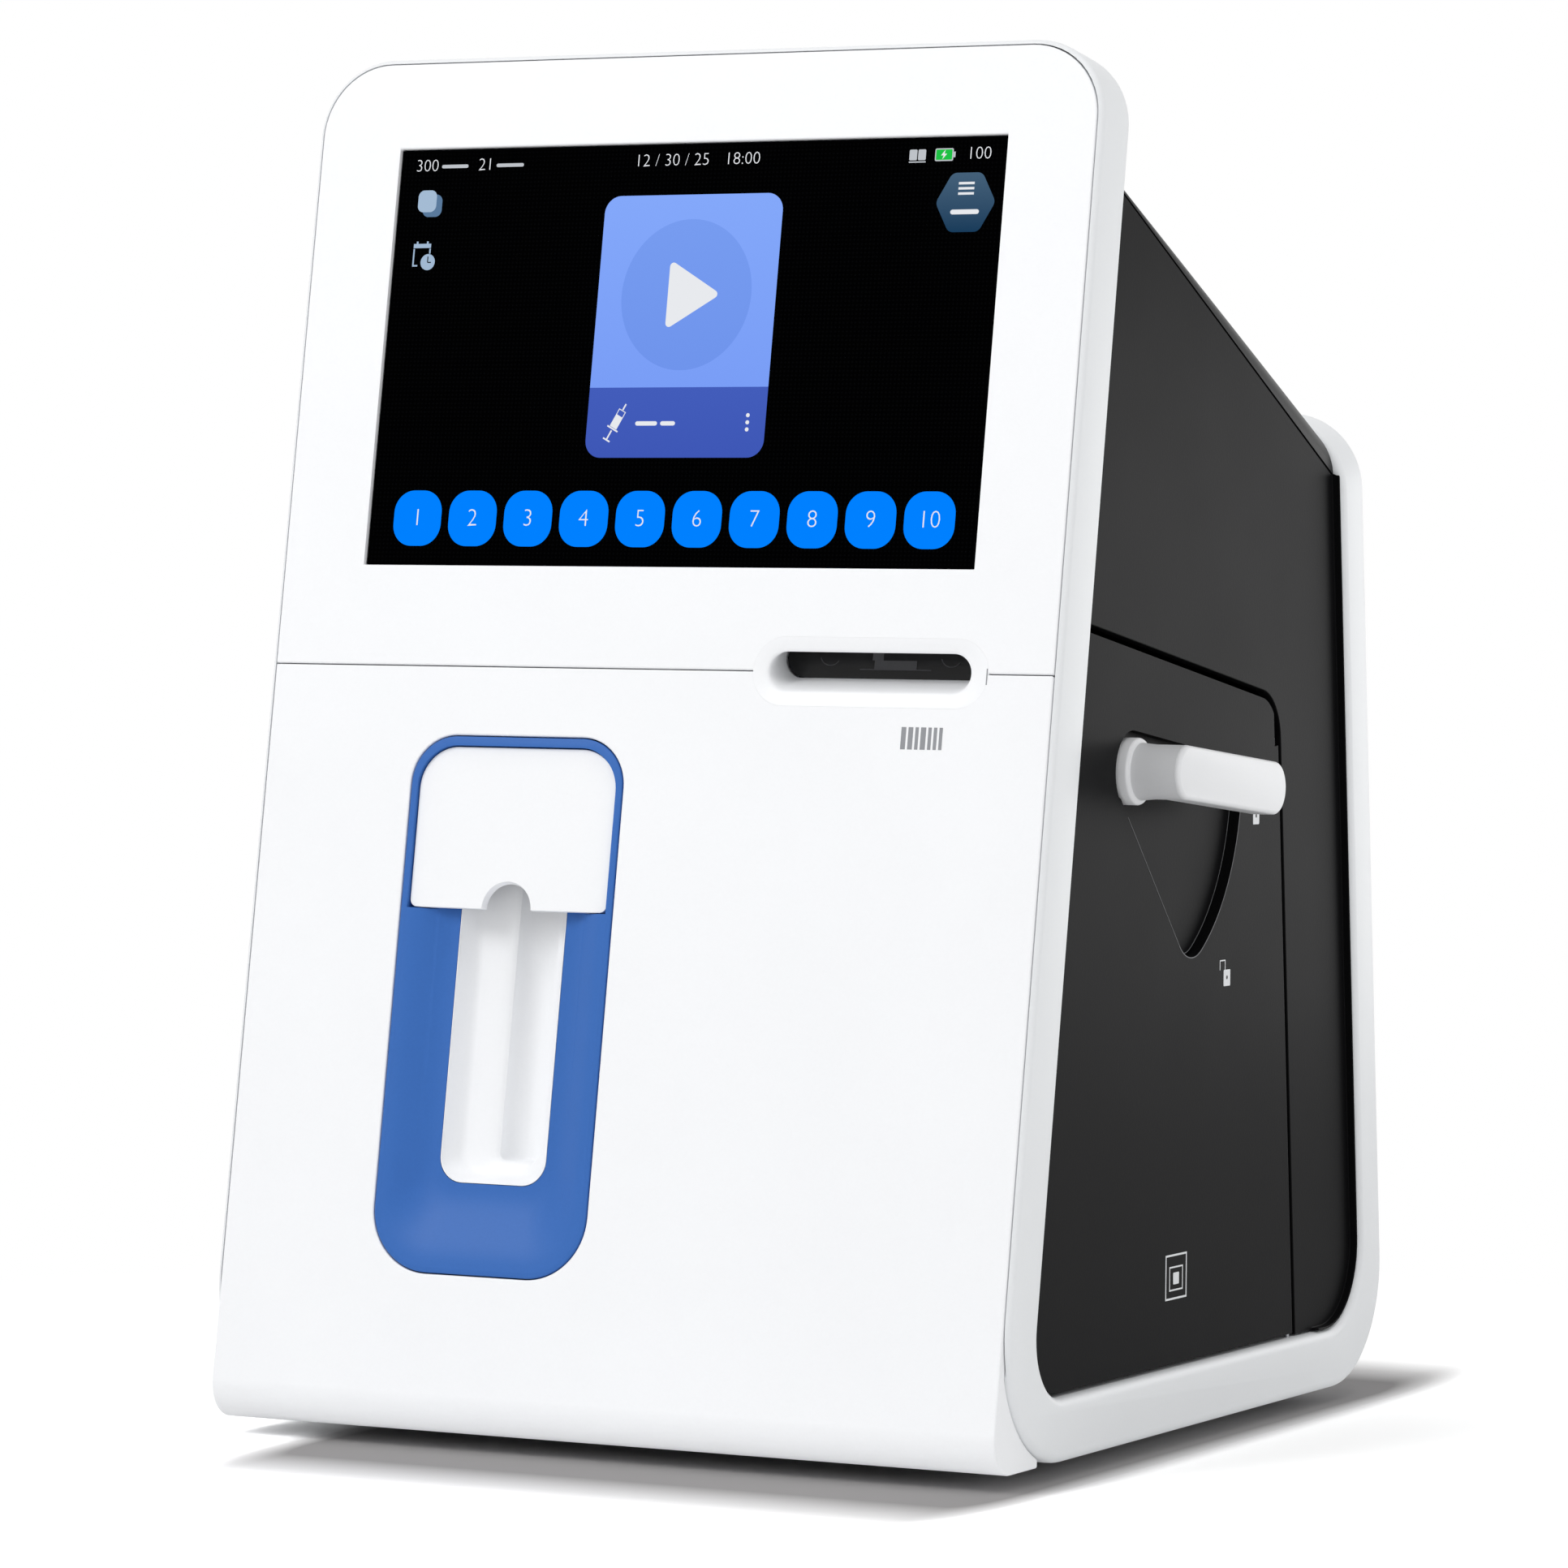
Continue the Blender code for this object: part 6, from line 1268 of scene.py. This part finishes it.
@dataclass
class Screen:
    """Touch glass and the generic signs that the display shows."""

    centre: float = 0.2740
    depth: float = 0.00098
    thickness: float = 0.00003
    layer_step: float = 0.00006
    chips: int = 10
    white: Glow = Glow("lit_white", (232, 234, 238), (232, 234, 238))

    def bottom(self) -> float:
        """World height that the glows' own heights are counted from."""
        return self.centre * math.cos(FRONT_LEAN) + Origin().offset()[2]

    def show(self, name: str, glow: Glow, layer: int, *shapes: object) -> None:
        """Put thin lit shapes on the glass.

        Args:
            name: the piece's name.
            glow: what colour they are.
            layer: how far in front of the glass they lie.
            shapes: outlines or arrays of points, about the screen's centre.
        """
        front = self.depth - layer * self.layer_step
        places = [(shape.points() if isinstance(shape, Outline) else shape)
                  + np.array([0.0, self.centre]) for shape in shapes]
        add_group(name, Face.FRONT, glow, "housing", [
            prism(points, front - self.thickness, front, Axis.Y) for points in places])

    def figure(self, text: str, size: float) -> tuple:
        """Vertices and faces of plain figures, as a thin solid about its middle."""
        curve = bpy.data.curves.new("figures", "FONT")
        curve.body = text
        curve.size = size
        curve.align_x = "CENTER"
        curve.align_y = "CENTER"
        curve.extrude = self.thickness / 2
        curve.offset = -size * 0.021
        curve.resolution_u = 3
        holder = link_object("figures", curve)
        graph = bpy.context.evaluated_depsgraph_get()
        mesh = bpy.data.meshes.new_from_object(holder.evaluated_get(graph))
        local = np.zeros(len(mesh.vertices) * 3)
        mesh.vertices.foreach_get("co", local)
        faces = [tuple(face.vertices) for face in mesh.polygons]
        bpy.data.objects.remove(holder)
        bpy.data.meshes.remove(mesh)
        bpy.data.curves.remove(curve)
        return local.reshape(-1, 3), faces

    def numerals(self, name: str, texts: list, size: float, layer: int) -> None:
        """Plain white figures.

        Args:
            name: the piece's name.
            texts: pairs of text and its middle, about the screen's centre.
            size: the figures' height scale.
            layer: how far in front of the glass they lie.
        """
        bodies = []
        front = self.depth - layer * self.layer_step
        for text, (x, up) in texts:
            local, faces = self.figure(text, size)
            bodies.append(Surface(np.stack([local[:, 0] + x, front - local[:, 2],
                                            local[:, 1] + up + self.centre], -1), faces))
        add_group(name, Face.FRONT, self.white, "housing", bodies)

    def build(self) -> None:
        """Lay out the start card, the keys, the header, the side signs and the menu sign."""
        self.build_card()
        self.build_chips()
        self.build_header()
        self.build_side_signs()
        self.build_menu()

    def build_card(self) -> None:
        """Card with a play sign in a faint circle, a syringe and three dots."""
        low, split, high = -0.0263, -0.0084, 0.0408
        half = 0.0253
        radius = 0.0045
        bottom = self.bottom()
        self.show("card_upper", Glow("lit_card", (121, 157, 246), (132, 168, 250),
                                     bottom - 0.01, bottom + 0.04), 0,
                  rectangle((-half, split), (half, high), (0, 0, radius, radius)))
        self.show("card_lower", Glow("lit_card_foot", (62, 87, 182), (67, 93, 187),
                                     bottom - 0.026, bottom - 0.008), 0,
                  rectangle((-half, low), (half, split), (radius, radius, 0, 0)))
        self.show("card_circle", Glow("lit_circle", (111, 148, 236), (119, 156, 240),
                                      bottom - 0.004, bottom + 0.034), 1,
                  disc((0.0, 0.0), 0.0193, 72) * np.array([0.955, 1.0]) + np.array([0.0, 0.0152]))
        play = Outline(((-0.0052, 0.0062), (0.0098, 0.0152), (-0.0052, 0.0242)),
                       (0.0010, 0.0010, 0.0010), 5)
        dots = [disc((0.0203, -0.0174 + row * 0.0018), 0.00052, 16) for row in (-1, 0, 1)]
        turn = math.radians(-28)
        spin = np.array([[math.cos(turn), math.sin(turn)], [-math.sin(turn), math.cos(turn)]])
        syringe = [rectangle(bar[:2], bar[2:]).points() @ spin + np.array([-0.0171, -0.0176])
                   for bar in ((-0.0011, -0.0012, 0.0011, 0.0022),
                               (-0.0002, -0.0046, 0.0002, -0.0020),
                               (-0.0017, -0.0017, 0.0017, -0.0013),
                               (-0.0011, -0.0049, 0.0011, -0.0045),
                               (-0.0011, 0.0022, -0.0009, 0.0036),
                               (0.0009, 0.0022, 0.0011, 0.0036),
                               (-0.0011, 0.0036, 0.0011, 0.0038),
                               (-0.0002, 0.0039, 0.0002, 0.0056))]
        words = [stadium((x, -0.0176), width, 0.0011, 4)
                 for width, x in ((0.0062, -0.0083), (0.0042, -0.0022))]
        self.show("card_signs", self.white, 2, play, *dots, *syringe, *words)

    def build_chips(self) -> None:
        """Row of round blue keys with plain numbers."""
        places = [(-0.0723 + number * 0.1451 / (self.chips - 1), -0.0419)
                  for number in range(self.chips)]
        self.show("keys", Glow("lit_key", (0, 128, 255), (0, 128, 255)), 0,
                  *[around(place, 0.0139, 0.0143, 0.0056) for place in places])
        self.numerals("key_figures", [(str(number + 1), place)
                                      for number, place in enumerate(places)], 0.0064, 1)

    def build_header(self) -> None:
        """Figures at the top, a small cassette sign and a charged battery."""
        self.numerals("header_figures", [("300", (-0.0785, 0.0497)), ("21", (-0.0612, 0.0497)),
                                         ("12 / 30 / 25", (-0.0072, 0.0497)),
                                         ("18:00", (0.0128, 0.0497)), ("100", (0.0785, 0.0496))],
                      0.0046, 0)
        words = [stadium((x, 0.0495), width, 0.0009, 4)
                 for x, width in ((-0.0703, 0.0078), (-0.0541, 0.0080))]
        reels = [around((x, 0.0496), 0.0021, 0.0027, 0.0003, 3) for x in (0.0604, 0.0628)]
        self.show("header_signs", Glow("lit_grey", (190, 194, 200), (190, 194, 200)), 0,
                  *words, *reels, around((0.0616, 0.0478), 0.0046, 0.0003, 0),
                  rectangle((0.0664, 0.0479), (0.0714, 0.0511), (0.0004,) * 4, 3),
                  around((0.0717, 0.0495), 0.0005, 0.0014, 0))
        self.show("battery_charge", Glow("lit_green", (24, 186, 62), (40, 205, 80)), 1,
                  rectangle((0.0667, 0.0482), (0.0711, 0.0508), (0.0002,) * 4, 3))
        self.show("battery_bolt", self.white, 2,
                  np.array([(0.0692, 0.0507), (0.0681, 0.0493), (0.0688, 0.0493),
                            (0.0685, 0.0483), (0.0697, 0.0497), (0.0690, 0.0497)]))

    def build_side_signs(self) -> None:
        """Overlapping tiles, and a calendar with a clock, at the left."""
        self.show("tile_back", Glow("lit_tile_back", (86, 118, 152), (98, 130, 164)), 0,
                  around((-0.0760, 0.0393), 0.0056, 0.0058, 0.0018))
        self.show("tile_front", Glow("lit_tile", (158, 182, 208), (176, 198, 220)), 1,
                  around((-0.0776, 0.0405), 0.0054, 0.0057, 0.0017))
        bars = [rectangle(bar[:2], bar[2:]) for bar in ((-0.0805, 0.0283, -0.0754, 0.0294),
                                                        (-0.0805, 0.0238, -0.0801, 0.0281),
                                                        (-0.0805, 0.0235, -0.0790, 0.0239),
                                                        (-0.0758, 0.0268, -0.0754, 0.0281),
                                                        (-0.0797, 0.0294, -0.0792, 0.0300),
                                                        (-0.0767, 0.0294, -0.0762, 0.0300))]
        self.show("calendar_sign", Glow("lit_sign", (158, 182, 208), (168, 190, 214)), 0,
                  *bars, disc((-0.0760, 0.0246), 0.0021, 32))
        self.show("clock_hands", Glow("lit_hand", (20, 24, 30), (20, 24, 30)), 1,
                  around((-0.0760, 0.0253), 0.0003, 0.0015, 0),
                  around((-0.0755, 0.0245), 0.0010, 0.0003, 0))

    def build_menu(self) -> None:
        """Rounded hexagon with three lines and a plain bar."""
        centre = np.array([0.0757, 0.0374])
        corners = tuple(tuple(centre + 0.0086 * np.array([0.95 * math.cos(turn), math.sin(turn)]))
                        for turn in np.arange(6) * math.pi / 3)
        self.show("menu_plate", Glow("lit_menu", (22, 58, 89), (70, 98, 123),
                                     self.bottom() + 0.029, self.bottom() + 0.045), 0,
                  Outline(corners, (0.0022,) * 6, 6))
        lines = [around((0.0757, 0.0396 + row * 0.0013), 0.0043, 0.0006, 0) for row in range(3)]
        self.show("menu_signs", self.white, 1, *lines,
                  stadium((0.0757, 0.0350), 0.0078, 0.0012, 4))


@dataclass
class RearDetails:
    """Contacts in the sockets at the back."""

    row: float = 0.0640

    def build(self) -> None:
        """Blades in the power socket and pins in the small sockets."""
        add_group("power_blades", Face.REAR, BRASS, "housing", [
            slab(around((x, self.row + up - 0.001), 0.0018, 0.0045, 0.0004, 3),
                 -0.0155, -0.0030, Axis.Y, 0, 0.0004, 2)
            for x, up in ((0.0650, 0.0), (0.0790, 0.0), (0.0720, 0.0030))])
        add_group("data_tongues", Face.REAR, BLACK, "housing", [
            slab(around((x, self.row - 0.0008), 0.0108, 0.0016, 0.0002, 2),
                 -0.0148, -0.0020, Axis.Y) for x in (-0.0460, -0.0700)])
        add_group("network_pins", Face.REAR, BRASS, "housing", [
            slab(around((-0.0180 + (index - 3.5) * 0.0012, self.row + 0.0052), 0.0005, 0.0006, 0),
                 -0.0146, -0.0040, Axis.Y) for index in range(8)])


@dataclass
class Studio:
    """Camera, pale floor with a painted shadow, white surroundings and soft lights."""

    azimuth: float = math.radians(27.199)
    elevation: float = math.radians(1.834)
    roll: float = math.radians(0.489)
    distance: float = 1.750283
    target: tuple = (-0.024334, 0.150, 0.159517)
    lens: float = 150.43
    floor_half: float = 3.0
    floor_level: float = -0.0002

    def stand(self, holder: bpy.types.Object, back: np.ndarray, place: tuple,
              roll: float = 0.0) -> None:
        """Stand a camera or a lamp somewhere.

        Args:
            holder: the camera or the lamp.
            back: direction that it looks away from, of length 1.
            place: where it stands.
            roll: angle that it is turned about that direction.
        """
        right = np.cross([0, 0, 1.0], back)
        right /= np.linalg.norm(right)
        up = np.cross(back, right)
        cos, sin = math.cos(roll), math.sin(roll)
        matrix = np.eye(4)
        matrix[:3] = np.stack([right * cos + up * sin, up * cos - right * sin, back, place], -1)
        holder.matrix_world = Matrix(matrix.tolist())

    def build_camera(self) -> None:
        """Camera at the photograph's viewing angle.

        It looks back along (sin a cos e, -cos a cos e, sin e), turned about that line
        by the roll.
        """
        back = np.array([math.sin(self.azimuth) * math.cos(self.elevation),
                         -math.cos(self.azimuth) * math.cos(self.elevation),
                         math.sin(self.elevation)])
        camera = link_object("camera", bpy.data.cameras.new("camera"))
        camera.data.lens = self.lens
        camera.data.sensor_width = 36.0
        self.stand(camera, back, np.array(self.target) + Origin().offset() + back * self.distance,
                   self.roll)
        bpy.context.scene.camera = camera

    def footprint_distance(self, graph: Graph, place: bpy.types.NodeSocket) -> bpy.types.NodeSocket:
        """Distance from the object's footprint, in widths of the floor's painted shadow.

        It is the length of max(|p - centre| - half, 0) / fade, taken along x and y.
        """
        for operation, amount in (("SUBTRACT", (0.010, -0.001, 0.0)),
                                  ("ABSOLUTE", (0.0, 0.0, 0.0)),
                                  ("SUBTRACT", (0.090, 0.111, 1.0)),
                                  ("MAXIMUM", (0.0, 0.0, 0.0)),
                                  ("DIVIDE", (0.020, 0.085, 1.0))):
            place = graph.add("VectorMath", "Vector", {0: place, 1: amount}, operation=operation)
        return graph.add("VectorMath", "Value", {0: place}, operation="LENGTH")

    def build_floor(self) -> None:
        """Wide pale floor with a painted shadow: darker close to the object, plain white far from
        it.
        """
        half = self.floor_half
        mesh = bpy.data.meshes.new("floor")
        corners = ((-half, -half), (half, -half), (half, half), (-half, half))
        mesh.from_pydata([(x, y, self.floor_level) for x, y in corners], [], [(0, 1, 2, 3)])
        finish = bpy.data.materials.new("floor_white_painted_shadow")
        finish.use_nodes = True
        finish.node_tree.nodes.clear()
        graph = Graph(finish.node_tree)
        place = graph.add("TexCoord", "Object")
        seen = graph.add("LightPath", "Is Camera Ray")
        # Painted shadow: for camera rays the floor's colour darkens towards the object's footprint
        painted_shadow = graph.ramp(self.footprint_distance(graph, place), (0.33, (0.19, 0.185, 0.185)),
                           (0.92, (1.0, 1.0, 1.0)), (0.60, (0.48, 0.475, 0.475)))
        lifted = graph.add("VectorMath", "Vector", {0: painted_shadow, "Scale": 1.7}, operation="SCALE")
        colour = graph.add("Mix", "Result", {
            "Factor": seen, "A": (0.93, 0.93, 0.93, 1), "B": lifted}, data_type="RGBA")
        lit = graph.add("BsdfDiffuse", "BSDF", {"Color": colour})
        glow = graph.add("Emission", "Emission", {"Color": (1, 1, 1, 1), "Strength": 1.0})
        length = graph.add("VectorMath", "Value", {0: place}, operation="LENGTH")
        reach = graph.add("MapRange", "Result", {
            "Value": length, "From Min": 0.18, "From Max": 0.40}, interpolation_type="SMOOTHSTEP")
        share = graph.add("Math", "Value", {0: reach, 1: seen}, operation="MULTIPLY")
        mix = graph.add("MixShader", "Shader", {0: share, 1: lit, 2: glow})
        graph.add("OutputMaterial", inputs={"Surface": mix})
        mesh.materials.append(finish)
        floor = link_object("floor", mesh)

    def build_world(self) -> None:
        """Soft even light, and plain white for what the camera and gloss see."""
        world = bpy.data.worlds.new("studio")
        bpy.context.scene.world = world
        world.use_nodes = True
        world.node_tree.nodes.clear()
        graph = Graph(world.node_tree)
        path = graph.add("LightPath")
        seen = path.outputs["Is Camera Ray"]
        for ray in ("Is Glossy Ray", "Is Transmission Ray"):
            seen = graph.add("Math", "Value", {0: seen, 1: path.outputs[ray]},
                             operation="MAXIMUM")
        soft, white = [graph.add("Background", "Background", {
            "Color": (1, 1, 1, 1), "Strength": strength}) for strength in (0.55, 1.0)]
        mix = graph.add("MixShader", "Shader", {0: seen, 1: soft, 2: white})
        graph.add("OutputWorld", inputs={"Surface": mix})

    def build_light(self, name: str, place: tuple, aim: tuple, size: float, power: float) -> None:
        """One square soft light that looks from a place at a point."""
        light = bpy.data.lights.new(name, "AREA")
        light.size = size
        light.energy = power
        back = np.array(place, float) - np.array(aim, float)
        holder = link_object(name, light)
        holder.visible_camera = False
        self.stand(holder, back / np.linalg.norm(back), place)

    def build(self) -> None:
        """Set up the whole studio."""
        self.build_camera()
        self.build_floor()
        self.build_world()
        self.build_light("key", (-1.1, -1.9, 2.0), (0, 0, 0.18), 1.2, 31.5)
        self.build_light("side", (2.0, -0.2, 0.30), (0, 0, 0.10), 1.2, 6.0)
        self.build_light("above", (0.9, -0.3, 2.2), (0, 0, 0.18), 0.8, 6.0)
        self.build_light("back", (0.265, 0.46, 0.19), (0.11, 0.08, 0.17), 0.24, 0.22)
        bpy.context.scene.view_settings.view_transform = "Standard"


def dress_nodes() -> None:
    """Give every carried-over node the finish of its material slot."""
    slots = {part["node"]: part["material_slot"] for part in frame["record"]["subparts"]}
    black = ("power_inlet", "switch_housing", "switch_rocker", "battery_pack", "stepper_motor",
             "pump_motor", "fan_frame", "fan_rotor")
    special = {**dict.fromkeys(black, BLACK), "touch_glass": ScreenGlass(),
               "scanner_window": READER_GLASS}
    for name, node in frame["nodes"].items():
        finish = special.get(name) or SLOT_FINISHES.get(slots.get(name), READER_GLASS)
        node.data.materials.clear()
        node.data.materials.append(finish.build())


def main() -> None:
    """Build the studio and every sub-assembly."""
    logging.basicConfig(level=logging.INFO, format="%(name)s: %(message)s")
    Studio().build()
    dress_nodes()
    OuterFrame().build()
    panels = FrontPanels()
    panels.build_upper()
    panels.build_lower()
    panels.build_marks()
    Scanner().build()
    INLET.build_surround()
    INLET.build_channel()
    INLET.build_flap()
    covers = Covers()
    covers.build_top()
    covers.build_sides()
    DOOR.build_leaf()
    DOOR.build_marks()
    DOOR.build_edge_highlights()
    Lever().build()
    Screen().build()
    RearDetails().build()


if __name__ == "__main__":
    main()
